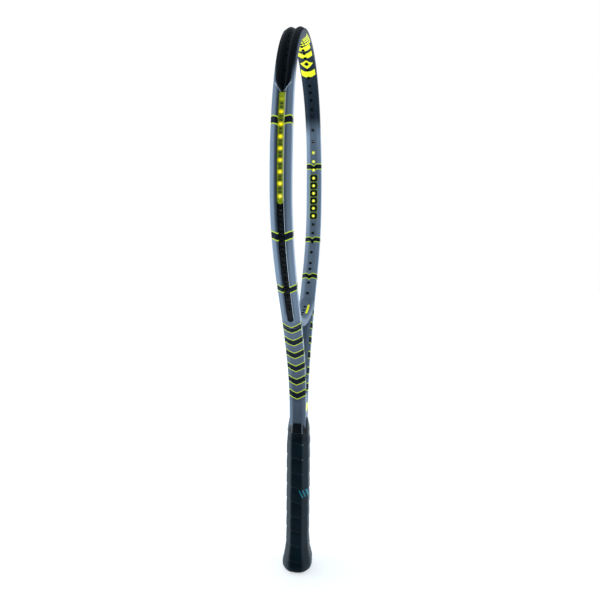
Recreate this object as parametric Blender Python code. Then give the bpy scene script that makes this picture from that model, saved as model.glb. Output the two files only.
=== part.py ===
"""Tennis racket, unstrung, standing on its butt end.

+Z runs from the butt end to the top of the head, X across the head and Y through the string plane, with the
front face at -Y. The origin is the middle of the butt end. Units are metres.
"""

import math

import bmesh
import bpy
import numpy as np
from mathutils import Vector

# Overall size and the outline of the tube's centre line
LENGTH = 0.6858
HEAD_HALF_WIDTH = 0.1242
WIDEST_HEIGHT = 0.4911
WIDTH_EXPONENT = 2.10
RISE_EXPONENT = 2.52
ARM_UPPER_PULL = 0.1060
ARM_LOWER_PULL = 0.1205
SHAFT_TOP = 0.2095
SHAFT_CENTRE = 0.0072
GRIPPED_CENTRE = 0.0066
SHAFT_NARROWS_FROM = 0.1960
SHAFT_NARROWS_TO = 0.1905
TUBE_END = 0.0105

# Tube section: half depth lies in the string plane, half thickness across it
HEAD_HALF_DEPTH = 0.00679
SHAFT_HALF_DEPTH = 0.0064
GRIPPED_HALF_DEPTH = 0.0060
GRIPPED_HALF_THICKNESS = 0.0094
HALF_THICKNESS = ((SHAFT_NARROWS_TO, GRIPPED_HALF_THICKNESS), (SHAFT_NARROWS_FROM, 0.01053), (0.2300, 0.0106),
                  (0.3000, 0.0111), (0.3600, 0.0108), (0.4500, 0.0112), (0.5300, 0.0112), (0.6000, 0.01053))
HALF_DEPTH = ((SHAFT_NARROWS_TO, GRIPPED_HALF_DEPTH), (SHAFT_NARROWS_FROM, SHAFT_HALF_DEPTH),
              (0.2100, SHAFT_HALF_DEPTH), (0.3300, HEAD_HALF_DEPTH))
SECTION_EXPONENT = 3.5
FACE_SHARES = (0.72, 0.93)
RIM_SHARE = 0.95
CHEEK_SHARE = 0.45
WALL = 0.0018
CAVITY_CORNER = 0.0022
CAVITY_OUTER_IN_HEAD = 0.0015
CAVITY_SHIFTS = (0.3350, 0.3650)
WEB_HALF_WIDTH = 0.0016
WEB_HALF_THICKNESS = 0.0079
GAP = 0.0003
CUT_PAST = 0.0030
HAIR = 0.00001
TANGENT_REACH = 0.0005

# String groove, and the recess that holds the bumper guard
GROOVE_HALF_WIDTH = 0.0035
GROOVE_DEPTH = 0.0028
BUMPER_GROOVE_DEPTH = 0.0037
GROOVE_END = 0.3445
GROOVE_RUN_OUT = 0.0040
BUMPER_TIP = 0.5795
BUMPER_WING = 0.5930
RECESS_STARTS = BUMPER_TIP - 0.0022
RECESS_FULL = BUMPER_TIP - 0.0012
TAPER_HEIGHTS = (BUMPER_WING, 0.5890, 0.5850)
BUMPER_THICKNESS = 0.0015
BUMPER_HALF_WIDTH = ((BUMPER_TIP, 0.0040), (0.5850, 0.0046), (BUMPER_WING, 0.0074), (0.6650, 0.0090))
RECESS_RIM = 0.0004
RIDGE_SHARE = 0.35
SHOULDER_SHARE = 0.75
UNDERCUT = 0.0003
EDGE_DROP = 0.0005
CHANNEL_HALF_WIDTH = 0.0024
CHANNEL_SLOPE = 0.0002
CHANNEL_EDGE = 0.0006
CHANNEL_DEPTH = 0.0022
CHANNEL_UNDERSIDE = 0.0034

# Strips of grommets, and the string holes they line
STRIP_HALF_WIDTH = 0.0031
STRIP_TOP = 0.0011
STRIP_BOTTOM = 0.0025
STRIP_BREAK = 0.4715
STATION_STEP = 0.0135
STATION_MARGIN = 0.0030
HOLE_RADIUS = 0.0022
HOLE_REACH = 0.0110
BARREL_RADIUS = 0.0018
WIDE_HOLE_RADIUS = 0.0025
WIDE_BARREL_RADIUS = 0.0021
BORE_RADIUS = 0.0011
BARREL_STANDS_OUT = 0.0008
BARREL_ROOT = 0.0006
# Distances of the holes from the top of the head, along the tube's centre line
HEAD_HOLES = (0.0048, 0.0145, 0.0245, 0.0355, 0.0480, 0.0610, 0.0740,
              0.0845, 0.0960, 0.1095, 0.1200, 0.1390, 0.1555)
SIDE_HOLES = (0.1715, 0.1845, 0.1970, 0.2090, 0.2203, 0.2316, 0.2428, 0.2541, 0.2660)
LOWER_HOLES = (0.2797, 0.2938, 0.3089, 0.3257, 0.3446, 0.3545, 0.3679, 0.3780, 0.3957)

# Bridge
BRIDGE_CENTRE_TOP = 0.3405
BRIDGE_TOP_RADIUS = 0.110
BRIDGE_CENTRE_BOTTOM = 0.3290
BRIDGE_BOTTOM_RADIUS = 0.145
BRIDGE_HALF_SPAN = 0.0625
BRIDGE_HALF_THICKNESS = 0.0094
BRIDGE_GROOVE_DEPTH = 0.0022
BRIDGE_GROOVE_HALF_SPAN = 0.0459
GROOVE_STEP = 0.0004
BRIDGE_MAINS = (0.0047, 0.0140, 0.0235, 0.0330, 0.0423)
THROAT_STRIP_HALF_SPAN = 0.0449
THROAT_STRIP = (0.0003, 0.0017)

# Handle: half sizes of the eight-sided sections across X and Y
PALLET_SIZE = (0.0153, 0.0134)
PALLET_TOP = 0.1895
PALLET_BOTTOM = 0.0068
PALLET_CHANNEL = (0.0129, 0.0097)
CHANNEL_BEVEL = 0.0026
GRIP_THICKNESS = 0.0014
GRIP_BOTTOM = 0.0040
GRIP_TOP = 0.1800
WIDER_ACROSS_X = 0.0020
FLARE = ((0.0040, 0.0198), (0.0085, 0.0200), (0.0135, 0.0191), (0.0190, 0.0178), (0.0255, 0.0165),
         (0.0340, 0.0155), (0.0450, 0.0150), (0.1760, 0.0150), (0.1800, 0.0146))
FRONT_FLAT = 0.456
SIDE_FLAT = 0.490
TAPE_THICKNESS = 0.0006

# Butt cap and its door
CAP_BASE = 0.0060
CAP_SKIRT_TOP = 0.0268
CAP_RIM = ((0.0000, 0.0172), (0.0008, 0.0185), (0.0022, 0.0194), (0.0037, 0.0197))
DOOR_PLATE = (0.0110, 0.0085)
DOOR_PLATE_THICKNESS = 0.0016
DOOR_PLUG = (0.0088, 0.0064)
DOOR_PLUG_TOP = 0.0085
DOOR_WALL = 0.0014
STAPLE_HEIGHT = 0.0205
STAPLE_HALF_SPAN = 0.0032
STAPLE_WIRE = 0.0011
STAPLE_SPREAD = 0.0040
STAPLE_LEG = 0.0040
TACK_HEIGHT = 0.0090
TACK_RADIUS = 0.0020
TACK_HEAD = 0.0006
TACK_SHANK = 0.0005
TACK_LENGTH = 0.0030
SUNK = 0.0002

# Rubber collar
COLLAR_BOTTOM = 0.1898
COLLAR_TOP = 0.2045
COLLAR_PEAK = 0.0040
COLLAR_SIZE = (0.0166, 0.0148)
COLLAR_TAPER = (0.0012, 0.0016)
COLLAR_BORE = (0.0141, 0.01095)
COLLAR_EXPONENT = 4.0
COLLAR_BORE_EXPONENT = 5.0
COLLAR_RIBS = 6
COLLAR_RIB_DEPTH = 0.0006

PLUG_LENGTH = 0.0200

SLATE_PAINT = ((0.085, 0.125, 0.150), 0.35, 0.3)
BLACK_PLASTIC = ((0.012, 0.012, 0.014), 0.55, 0.0)
YELLOW_PLASTIC = ((0.62, 0.62, 0.03), 0.40, 0.0)
BLACK_RUBBER = ((0.014, 0.014, 0.016), 0.65, 0.0)
GRIP_LEATHER = ((0.020, 0.021, 0.024), 0.60, 0.0)
PALE_FOAM = ((0.55, 0.52, 0.42), 0.90, 0.0)
STEEL = ((0.60, 0.60, 0.62), 0.30, 1.0)
CLOTH_TAPE = ((0.025, 0.025, 0.028), 0.50, 0.0)


def clear_scene():
    for old in list(bpy.data.objects):
        bpy.data.objects.remove(old, do_unlink=True)


def material(name, look):
    colour, roughness, metallic = look
    made = bpy.data.materials.get(name) or bpy.data.materials.new(name)
    made.use_nodes = True
    shader = made.node_tree.nodes["Principled BSDF"]
    shader.inputs["Base Color"].default_value = (*colour, 1.0)
    shader.inputs["Roughness"].default_value = roughness
    shader.inputs["Metallic"].default_value = metallic
    return made


def add_object(name, shape, look=None, smooth=True):
    """Turn a bmesh into an object with outward faces, and with a material unless it is only a cutter."""
    bmesh.ops.recalc_face_normals(shape, faces=shape.faces)
    mesh = bpy.data.meshes.new(name)
    shape.to_mesh(mesh)
    shape.free()
    if smooth:
        mesh.shade_smooth()
        mesh.set_sharp_from_angle(angle=math.radians(35))
    made = bpy.data.objects.new(name, mesh)
    bpy.context.scene.collection.objects.link(made)
    if look:
        mesh.materials.append(material(name + "_finish", look))
    else:
        made.hide_render = True
        made.display_type = "WIRE"
    return made


def combine(target, other, operation, solver="EXACT"):
    step = target.modifiers.new(operation.lower(), "BOOLEAN")
    step.operation = operation
    step.solver = solver
    step.object = other


def loft(rings, shape=None):
    """Skin a list of rings, each a list of points, and close both ends."""
    shape = shape or bmesh.new()
    rows = [[shape.verts.new(point) for point in ring] for ring in rings]
    count = len(rows[0])
    for low, high in zip(rows, rows[1:]):
        for i in range(count):
            j = (i + 1) % count
            shape.faces.new((low[i], low[j], high[j], high[i]))
    shape.faces.new(rows[0])
    shape.faces.new(list(reversed(rows[-1])))
    return shape


def box(low, high, shape=None):
    x0, y0, z0 = low
    x1, y1, z1 = high
    corners = ((x0, y0), (x1, y0), (x1, y1), (x0, y1))
    return loft([[(x, y, z) for x, y in corners] for z in (z0, z1)], shape)


def prism(start, end, radius, sides, shape=None):
    """A straight prism with a regular section, between two points at the same Y."""
    along = (end - start).normalized()
    across = Vector((0.0, 1.0, 0.0))
    other = along.cross(across).normalized()
    rings = []
    for centre in (start, end):
        angles = [2 * math.pi * k / sides for k in range(sides)]
        rings.append([centre + radius * (math.cos(a) * across + math.sin(a) * other) for a in angles])
    return loft(rings, shape)


# Outline of the frame ------------------------------------------------------------------------------

def bezier(start, pull_start, pull_end, end, count):
    t = np.linspace(0.0, 1.0, count)[:, None]
    points = np.array([start, pull_start, pull_end, end])
    weights = np.hstack([(1 - t) ** 3, 3 * t * (1 - t) ** 2, 3 * t * t * (1 - t), t ** 3])
    return weights @ points


def trace_outline():
    """Closely spaced centre-line points of the +X half, from the top of the head down to the tube's end."""
    angle = np.linspace(0.0, math.pi / 2, 500)
    rise = LENGTH - HEAD_HALF_DEPTH - WIDEST_HEIGHT
    head = np.column_stack([
        HEAD_HALF_WIDTH * np.sin(angle) ** (2 / WIDTH_EXPONENT),
        WIDEST_HEIGHT + rise * np.cos(angle) ** (2 / RISE_EXPONENT),
    ])
    arm = bezier(
        (HEAD_HALF_WIDTH, WIDEST_HEIGHT),
        (HEAD_HALF_WIDTH, WIDEST_HEIGHT - ARM_UPPER_PULL),
        (SHAFT_CENTRE, SHAFT_TOP + ARM_LOWER_PULL),
        (SHAFT_CENTRE, SHAFT_TOP),
        500,
    )
    shaft = np.array([
        (SHAFT_CENTRE, SHAFT_NARROWS_FROM),
        (GRIPPED_CENTRE, SHAFT_NARROWS_TO),
        (GRIPPED_CENTRE, TUBE_END),
    ])
    points = np.vstack([head, arm[1:], shaft])
    lengths = np.hypot(*np.diff(points, axis=0).T)
    along = np.concatenate([[0.0], np.cumsum(lengths)])
    return along, points[:, 0], points[:, 1]


ALONG, OUTLINE_X, OUTLINE_Z = trace_outline()
SHAFT_ALONG = float(np.interp(-SHAFT_TOP, -OUTLINE_Z, ALONG))


def along_at_height(z):
    return float(np.interp(-z, -OUTLINE_Z, ALONG))


def place(s):
    """Centre-line point and outward normal at a signed distance from the top of the head."""
    side = 1.0 if s >= 0 else -1.0
    reach = abs(s)
    x = float(np.interp(reach, ALONG, OUTLINE_X))
    z = float(np.interp(reach, ALONG, OUTLINE_Z))
    if reach >= SHAFT_ALONG:
        return Vector((side * x, 0.0, z)), Vector((side, 0.0, 0.0))
    before, after = max(reach - TANGENT_REACH, 0.0), reach + TANGENT_REACH
    step_x = float(np.interp(after, ALONG, OUTLINE_X) - np.interp(before, ALONG, OUTLINE_X))
    step_z = float(np.interp(after, ALONG, OUTLINE_Z) - np.interp(before, ALONG, OUTLINE_Z))
    if reach < TANGENT_REACH:
        step_z = 0.0
    normal = Vector((-step_z, 0.0, step_x)).normalized()
    return Vector((side * x, 0.0, z)), Vector((side * normal.x, 0.0, normal.z))


def at_height(table, z):
    """Value at a height, from a table of rising heights and their values."""
    heights, values = zip(*table)
    return float(np.interp(z, heights, values))


def half_depth(z):
    return at_height(HALF_DEPTH, z)


def half_thickness(z):
    return at_height(HALF_THICKNESS, z)


def mirrored(half):
    """A whole section from the half of it at positive v."""
    return half + [(u, -v) for u, v in reversed(half)]


def set_out(section, centre, normal):
    """Put a section of (outward, across) pairs at a point of the centre line."""
    return [centre + u * normal + Vector((0.0, v, 0.0)) for u, v in section]


def face_height(share, depth):
    """Height of a section's outer face over its centre, at a share of its half thickness."""
    return depth * (1 - abs(share) ** SECTION_EXPONENT) ** (1 / SECTION_EXPONENT)


def grid(start, end):
    """Stations from start to end: the frame's regular grid in between, so that neighbours share facets."""
    first = math.ceil((min(start, end) + STATION_MARGIN) / STATION_STEP)
    last = math.floor((max(start, end) - STATION_MARGIN) / STATION_STEP)
    inner = [k * STATION_STEP for k in range(first, last + 1)]
    return [min(start, end), *inner, max(start, end)]


# Frame ---------------------------------------------------------------------------------------------

def frame_ring(s, grow=0.0, grooved=True):
    """Section of the frame's tube: a squared oval with the string groove and the bumper's recess."""
    centre, normal = place(s)
    z = centre.z
    depth = half_depth(z) + grow
    thick = half_thickness(z) + grow
    cheek = (CHEEK_SHARE * depth, face_height(CHEEK_SHARE, thick))
    inner = [(-face_height(share, depth), share * thick) for share in reversed(FACE_SHARES)]
    if grooved:
        groove = at_height(((GROOVE_END, 0.0), (GROOVE_END + GROOVE_RUN_OUT, GROOVE_DEPTH),
                            (RECESS_STARTS, GROOVE_DEPTH), (RECESS_FULL, BUMPER_GROOVE_DEPTH)), z)
        sunk = at_height(((RECESS_STARTS, 0.0), (RECESS_FULL, BUMPER_THICKNESS + GAP)), z)
        recess = at_height(BUMPER_HALF_WIDTH, z) + GAP
        rim = recess + RECESS_RIM
        outer = [
            (depth - groove, GROOVE_HALF_WIDTH),
            (face_height(GROOVE_HALF_WIDTH / thick, depth) - sunk, GROOVE_HALF_WIDTH),
            (face_height(recess / thick, depth) - sunk, recess),
            (face_height(rim / thick, depth), rim),
            (face_height(RIM_SHARE, depth), RIM_SHARE * thick),
        ]
    else:
        shares = (GROOVE_HALF_WIDTH / thick, *FACE_SHARES)
        outer = [(face_height(share, depth), share * thick) for share in shares]
    half = [*outer, cheek, (-cheek[0], cheek[1]), *inner]
    return set_out(mirrored(half), centre, normal)


def frame_stations():
    """Distances of the frame's sections along one side, closer together where the section changes."""
    changes = [along_at_height(z) for z in (
        *TAPER_HEIGHTS, RECESS_FULL, RECESS_STARTS,
        GROOVE_END + GROOVE_RUN_OUT, GROOVE_END, SHAFT_TOP, SHAFT_NARROWS_FROM, SHAFT_NARROWS_TO,
    )]
    end = float(ALONG[-1])
    regular = [s for s in grid(0.0, SHAFT_ALONG)[:-1] if min(abs(s - c) for c in changes) > STATION_MARGIN]
    return sorted(regular + changes) + [end]


def both_sides(distances):
    return [-s for s in reversed(distances) if s > 0] + list(distances)


def cavity_ring(s):
    centre, normal = place(s)
    z = centre.z
    depth = half_depth(z)
    thick = half_thickness(z)
    outer = float(np.interp(z, CAVITY_SHIFTS, (depth - WALL, CAVITY_OUTER_IN_HEAD)))
    inner = -(depth - WALL)
    wide = thick - WALL
    corner = CAVITY_CORNER
    half = [(outer, wide - corner), (outer - corner, wide), (inner + corner, wide), (inner, wide - corner)]
    return set_out(mirrored(half), centre, normal)


def through_holes(distances, radius, shape):
    for s in both_sides(distances):
        centre, normal = place(s)
        prism(centre - HOLE_REACH * normal, centre + HOLE_REACH * normal, radius, 6, shape)
    return shape


def make_frame():
    stations = both_sides(frame_stations())
    frame = add_object("frame", loft([frame_ring(s) for s in stations]), SLATE_PAINT)
    web_top = float(np.interp(GAP + WEB_HALF_WIDTH, *parting()))
    web = box((-WEB_HALF_WIDTH, -WEB_HALF_THICKNESS, TUBE_END),
              (WEB_HALF_WIDTH, WEB_HALF_THICKNESS, web_top))
    combine(frame, add_object("web_guide", web), "UNION")
    coarse = set(both_sides(frame_stations()[:-1:2] + [along_at_height(SHAFT_NARROWS_TO), float(ALONG[-1])]))
    rings = [cavity_ring(s) for s in sorted(coarse)]
    below = Vector((0.0, 0.0, -CUT_PAST))
    rings = [[p + below for p in rings[0]], *rings, [p + below for p in rings[-1]]]
    combine(frame, add_object("cavity_guide", loft(rings)), "DIFFERENCE")
    holes = bmesh.new()
    through_holes(HEAD_HOLES + LOWER_HOLES, HOLE_RADIUS, holes)
    through_holes(SIDE_HOLES, WIDE_HOLE_RADIUS, holes)
    combine(frame, add_object("string_hole_guide", holes), "DIFFERENCE", "MANIFOLD")


def parting():
    """Inner edge of an arm against height, where the two arms part above the shaft."""
    heights = np.linspace(SHAFT_TOP, 0.26, 60)
    edges = [float(np.interp(-z, -OUTLINE_Z, OUTLINE_X)) - half_depth(z) for z in heights]
    return edges, heights


def frame_clearance():
    """The frame's plain outline grown by the gap, which cuts room for the frame out of its neighbours."""
    stations = both_sides(frame_stations())
    return add_object("frame_clearance_guide", loft([frame_ring(s, GAP, grooved=False) for s in stations]))


# Bumper guard and grommet strips -------------------------------------------------------------------

def bumper_ring(s):
    """Section of the bumper: two rounded ridges with the string channel between them."""
    centre, normal = place(s)
    z = centre.z
    depth = half_depth(z)
    wide = at_height(BUMPER_HALF_WIDTH, z)
    ridge = CHANNEL_HALF_WIDTH + RIDGE_SHARE * (wide - CHANNEL_HALF_WIDTH)
    shoulder = CHANNEL_HALF_WIDTH + SHOULDER_SHARE * (wide - CHANNEL_HALF_WIDTH)
    underside = wide - UNDERCUT

    def face(v):
        return face_height(v / half_thickness(z), depth)

    half = [
        (depth - CHANNEL_DEPTH, CHANNEL_HALF_WIDTH - CHANNEL_SLOPE),
        (depth - CHANNEL_EDGE, CHANNEL_HALF_WIDTH + CHANNEL_SLOPE),
        (face(ridge), ridge),
        (face(shoulder), shoulder),
        (face(wide) - EDGE_DROP, wide),
        (face(underside) - BUMPER_THICKNESS, underside),
        (face(shoulder) - BUMPER_THICKNESS, shoulder),
        (depth - BUMPER_THICKNESS, STRIP_HALF_WIDTH),
        (depth - CHANNEL_UNDERSIDE, STRIP_HALF_WIDTH - CHANNEL_SLOPE),
    ]
    return set_out(mirrored(half), centre, normal)


def strip_ring(s):
    centre, normal = place(s)
    depth = half_depth(centre.z)
    half = [(depth - STRIP_TOP, STRIP_HALF_WIDTH), (depth - STRIP_BOTTOM, STRIP_HALF_WIDTH)]
    return set_out(mirrored(half), centre, normal)


def barrels(distances, radius, floor_depth):
    """Barrels that line the string holes, as one guide, and the bores through them, as another."""
    solid = bmesh.new()
    bores = bmesh.new()
    for s in distances:
        centre, normal = place(s)
        depth = half_depth(centre.z)
        inner = -(depth + BARREL_STANDS_OUT)
        bore_start = centre + (inner - CUT_PAST) * normal
        bore_end = centre + (depth + CUT_PAST) * normal
        prism(centre + inner * normal, centre + (depth - floor_depth) * normal, radius, 6, solid)
        prism(bore_start, bore_end, BORE_RADIUS, 4, bores)
    return solid, bores


def fit_barrels(strip, distances, radius, floor_depth):
    solid, bores = barrels(distances, radius, floor_depth)
    combine(strip, add_object(strip.name + "_barrel_guide", solid), "UNION")
    combine(strip, add_object(strip.name + "_bore_guide", bores), "DIFFERENCE")


def make_bumper():
    end = along_at_height(BUMPER_TIP)
    taper = [along_at_height(z) for z in TAPER_HEIGHTS]
    stations = both_sides(grid(0.0, taper[0])[:-1] + taper + [end])
    bumper = add_object("bumper_guard", loft([bumper_ring(s) for s in stations]), BLACK_PLASTIC)
    fit_barrels(bumper, both_sides(HEAD_HOLES), BARREL_RADIUS, CHANNEL_DEPTH + BARREL_ROOT)


def make_strip(name, start, end, distances, radius, look):
    strip = add_object(name, loft([strip_ring(s) for s in grid(start, end)]), look)
    fit_barrels(strip, distances, radius, STRIP_TOP + BARREL_ROOT)


def make_grommets():
    make_bumper()
    top = along_at_height(BUMPER_TIP) + GAP
    middle = along_at_height(STRIP_BREAK)
    bottom = along_at_height(GROOVE_END + GROOVE_RUN_OUT + GAP)
    for label, sign in (("left", -1), ("right", 1)):
        side_run = [sign * s for s in SIDE_HOLES]
        lower_run = [sign * s for s in LOWER_HOLES]
        make_strip("side_grommets_" + label, sign * top, sign * middle, side_run,
                   WIDE_BARREL_RADIUS, YELLOW_PLASTIC)
        make_strip("lower_grommets_" + label, sign * (middle + GAP), sign * bottom, lower_run,
                   BARREL_RADIUS, BLACK_PLASTIC)


# Bridge --------------------------------------------------------------------------------------------

def arc_height(x, centre_height, radius):
    return centre_height + radius - math.sqrt(radius * radius - x * x)


def bridge_ring(x):
    top = arc_height(x, BRIDGE_CENTRE_TOP, BRIDGE_TOP_RADIUS)
    bottom = arc_height(x, BRIDGE_CENTRE_BOTTOM, BRIDGE_BOTTOM_RADIUS)
    middle = 0.5 * (top + bottom)
    depth = 0.5 * (top - bottom)
    thick = BRIDGE_HALF_THICKNESS
    groove = BRIDGE_GROOVE_DEPTH if abs(x) < BRIDGE_GROOVE_HALF_SPAN else 0.0
    half = [(groove - depth, GROOVE_HALF_WIDTH)]
    half += [(-face_height(GROOVE_HALF_WIDTH / thick, depth), GROOVE_HALF_WIDTH)]
    half += [(-face_height(share, depth), share * thick) for share in FACE_SHARES]
    half += [(0.0, thick)]
    half += [(face_height(share, depth), share * thick) for share in reversed(FACE_SHARES)]
    return [Vector((x, v, middle + u)) for u, v in mirrored(half)]


def make_bridge(clearance):
    span = BRIDGE_HALF_SPAN
    edge = BRIDGE_GROOVE_HALF_SPAN
    inside = np.linspace(-edge + HAIR, edge - HAIR, 13)
    stations = [-span, -edge - GROOVE_STEP, *inside, edge + GROOVE_STEP, span]
    bridge = add_object("bridge", loft([bridge_ring(float(x)) for x in stations]), SLATE_PAINT)
    combine(bridge, clearance, "DIFFERENCE", "MANIFOLD")
    holes = bmesh.new()
    solid = bmesh.new()
    bores = bmesh.new()
    for x in both_sides(BRIDGE_MAINS):
        top = arc_height(x, BRIDGE_CENTRE_TOP, BRIDGE_TOP_RADIUS) + BARREL_STANDS_OUT
        bottom = arc_height(x, BRIDGE_CENTRE_BOTTOM, BRIDGE_BOTTOM_RADIUS)
        below, above = Vector((x, 0.0, bottom - CUT_PAST)), Vector((x, 0.0, top + CUT_PAST))
        prism(below, above, HOLE_RADIUS, 6, holes)
        prism(Vector((x, 0.0, bottom + BARREL_ROOT)), Vector((x, 0.0, top)), BARREL_RADIUS, 6, solid)
        prism(below, above, BORE_RADIUS, 4, bores)
    combine(bridge, add_object("bridge_hole_guide", holes), "DIFFERENCE", "MANIFOLD")
    strip = add_object("throat_grommets", loft(throat_strip_rings()), BLACK_PLASTIC)
    combine(strip, add_object("throat_barrel_guide", solid), "UNION")
    combine(strip, add_object("throat_bore_guide", bores), "DIFFERENCE")


def throat_strip_rings():
    rings = []
    for x in np.linspace(-THROAT_STRIP_HALF_SPAN, THROAT_STRIP_HALF_SPAN, 13):
        bottom = arc_height(float(x), BRIDGE_CENTRE_BOTTOM, BRIDGE_BOTTOM_RADIUS)
        low, high = (bottom + height for height in THROAT_STRIP)
        wide = STRIP_HALF_WIDTH
        rings.append([Vector((x, y, z)) for y, z in ((-wide, low), (wide, low), (wide, high), (-wide, high))])
    return rings


# Handle --------------------------------------------------------------------------------------------

def octagon(size, z):
    """Ring of an eight-sided handle section with the given half sizes."""
    x, y = size
    flat_x, flat_y = FRONT_FLAT * x, SIDE_FLAT * y
    corners = ((x, -flat_y), (x, flat_y), (flat_x, y), (-flat_x, y),
               (-x, flat_y), (-x, -flat_y), (-flat_x, -y), (flat_x, -y))
    return [Vector((u, v, z)) for u, v in corners]


def flare_size(z, inset=0.0):
    half = at_height(FLARE, z) - inset
    return half + WIDER_ACROSS_X, half


def make_pallets():
    """Two shells, each a half octagon outside and a half channel for the shaft inside."""
    x, y = PALLET_SIZE
    inner_x, inner_y = PALLET_CHANNEL
    edge = 0.5 * GAP
    bevel = CHANNEL_BEVEL
    half = [(x, edge), (x, SIDE_FLAT * y), (FRONT_FLAT * x, y), (-FRONT_FLAT * x, y), (-x, SIDE_FLAT * y),
            (-x, edge), (-inner_x, edge), (-inner_x, inner_y - bevel), (-inner_x + bevel, inner_y),
            (inner_x - bevel, inner_y), (inner_x, inner_y - bevel), (inner_x, edge)]
    pallets = []
    for name, sign in (("pallet_front", -1), ("pallet_back", 1)):
        rings = [[Vector((u, sign * v, z)) for u, v in half] for z in (PALLET_BOTTOM, PALLET_TOP)]
        pallets.append(add_object(name, loft(rings), PALE_FOAM, smooth=False))
    return pallets


def make_butt_cap():
    rings = [octagon((half + WIDER_ACROSS_X, half), z) for z, half in CAP_RIM]
    inset = GRIP_THICKNESS + GAP
    skirt = [z for z, _ in FLARE if GRIP_BOTTOM < z < CAP_SKIRT_TOP] + [CAP_SKIRT_TOP]
    rings += [octagon(flare_size(z, inset), z) for z in [CAP_RIM[-1][0] + HAIR, *skirt]]
    cap = add_object("butt_cap", loft(rings), BLACK_PLASTIC, smooth=False)
    room = (PALLET_SIZE[0] + GAP, PALLET_SIZE[1] + GAP)
    inside = loft([octagon(room, z) for z in (CAP_BASE, CAP_SKIRT_TOP + CUT_PAST)])
    combine(cap, add_object("cap_inside_guide", inside), "DIFFERENCE")
    plate_x, plate_y = DOOR_PLATE[0] + GAP, DOOR_PLATE[1] + GAP
    plug_x, plug_y = DOOR_PLUG[0] + GAP, DOOR_PLUG[1] + GAP
    seat = loft([octagon((plate_x, plate_y), z) for z in (-CUT_PAST, DOOR_PLATE_THICKNESS + 2 * GAP)])
    combine(cap, add_object("door_seat_guide", seat), "DIFFERENCE")
    hole = loft([octagon((plug_x, plug_y), z) for z in (-CUT_PAST, CAP_BASE + CUT_PAST)])
    combine(cap, add_object("door_hole_guide", hole), "DIFFERENCE")
    return cap


def make_butt_door():
    """Snap-in door: a plate flush with the butt end and a hollow plug behind it."""
    plug_bottom = DOOR_PLATE_THICKNESS + GAP
    shape = loft([
        octagon(DOOR_PLATE, GAP), octagon(DOOR_PLATE, plug_bottom),
        octagon(DOOR_PLUG, plug_bottom + HAIR), octagon(DOOR_PLUG, DOOR_PLUG_TOP),
    ])
    door = add_object("butt_door", shape, BLACK_PLASTIC, smooth=False)
    hollow_size = (DOOR_PLUG[0] - DOOR_WALL, DOOR_PLUG[1] - DOOR_WALL)
    hollow = loft([octagon(hollow_size, z) for z in (plug_bottom + DOOR_WALL, DOOR_PLUG_TOP + CUT_PAST)])
    combine(door, add_object("door_hollow_guide", hollow), "DIFFERENCE")


def staple_shape(x, side, grow=0.0):
    """A wire staple whose crown lies in the skirt of the butt cap and whose legs run into a pallet."""
    surface = flare_size(STAPLE_HEIGHT, GRIP_THICKNESS + GAP)[1]
    thick = STAPLE_WIRE / 2 + grow
    top = surface - SUNK + (CUT_PAST if grow else 0.0)
    low = surface - SUNK - STAPLE_WIRE - grow
    tip = surface - STAPLE_LEG - grow
    reach = STAPLE_HALF_SPAN + grow
    leg = STAPLE_HALF_SPAN - STAPLE_WIRE - grow
    profile = [(-reach, top), (reach, top), (reach, tip), (leg, tip), (leg, low), (-leg, low), (-leg, tip),
               (-reach, tip)]
    heights = (STAPLE_HEIGHT - thick, STAPLE_HEIGHT + thick)
    return loft([[Vector((x + u, side * v, z)) for u, v in profile] for z in heights])


def make_staples(holders):
    number = 0
    for side in (-1, 1):
        for x in (-STAPLE_SPREAD, STAPLE_SPREAD):
            number += 1
            add_object(f"staple_{number}", staple_shape(x, side), STEEL, smooth=False)
            slot = add_object(f"staple_slot_guide_{number}", staple_shape(x, side, GAP))
            for holder in holders:
                combine(holder, slot, "DIFFERENCE")


def make_grip(cap):
    """Grip tape as one sleeve, with the tack that fastens its start to the butt cap."""
    heights = [z for z, _ in FLARE]
    outer = loft([octagon(flare_size(z), z) for z in heights])
    grip = add_object("grip_tape", outer, GRIP_LEATHER)
    inner_heights = [GRIP_BOTTOM - CUT_PAST] + heights[1:-2] + [GRIP_TOP + CUT_PAST]
    room = (PALLET_SIZE[0] + GAP, PALLET_SIZE[1] + GAP)
    rings = []
    for z in inner_heights:
        x, y = flare_size(z, GRIP_THICKNESS)
        rings.append(octagon((max(x, room[0]), max(y, room[1])), z))
    combine(grip, add_object("grip_inside_guide", loft(rings)), "DIFFERENCE")
    surface = flare_size(TACK_HEIGHT)[1]
    face = Vector((0.0, surface - SUNK, TACK_HEIGHT))
    inwards = Vector((0.0, -1.0, 0.0))
    tack = turned(face, inwards, ((0.0, TACK_RADIUS), (TACK_HEAD, TACK_RADIUS),
                                  (TACK_HEAD + HAIR, TACK_SHANK), (TACK_LENGTH, TACK_SHANK)))
    add_object("grip_tack", tack, STEEL)
    seat = TACK_HEAD + GAP
    wide, narrow = TACK_RADIUS + GAP, TACK_SHANK + GAP
    room_for_tack = turned(face, inwards, ((-CUT_PAST, wide), (seat, wide), (seat + HAIR, narrow),
                                           (TACK_LENGTH + 2 * GAP, narrow)))
    slot = add_object("tack_slot_guide", room_for_tack)
    combine(grip, slot, "DIFFERENCE")
    combine(cap, slot, "DIFFERENCE")


def turned(start, along, profile, sides=10):
    """A turned solid: profile gives distance along the axis and radius."""
    across = Vector((1.0, 0.0, 0.0))
    other = along.cross(across)
    rings = []
    for distance, radius in profile:
        angles = [2 * math.pi * k / sides for k in range(sides)]
        centre = start + distance * along
        rings.append([centre + radius * (math.cos(a) * across + math.sin(a) * other) for a in angles])
    return loft(rings)


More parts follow.
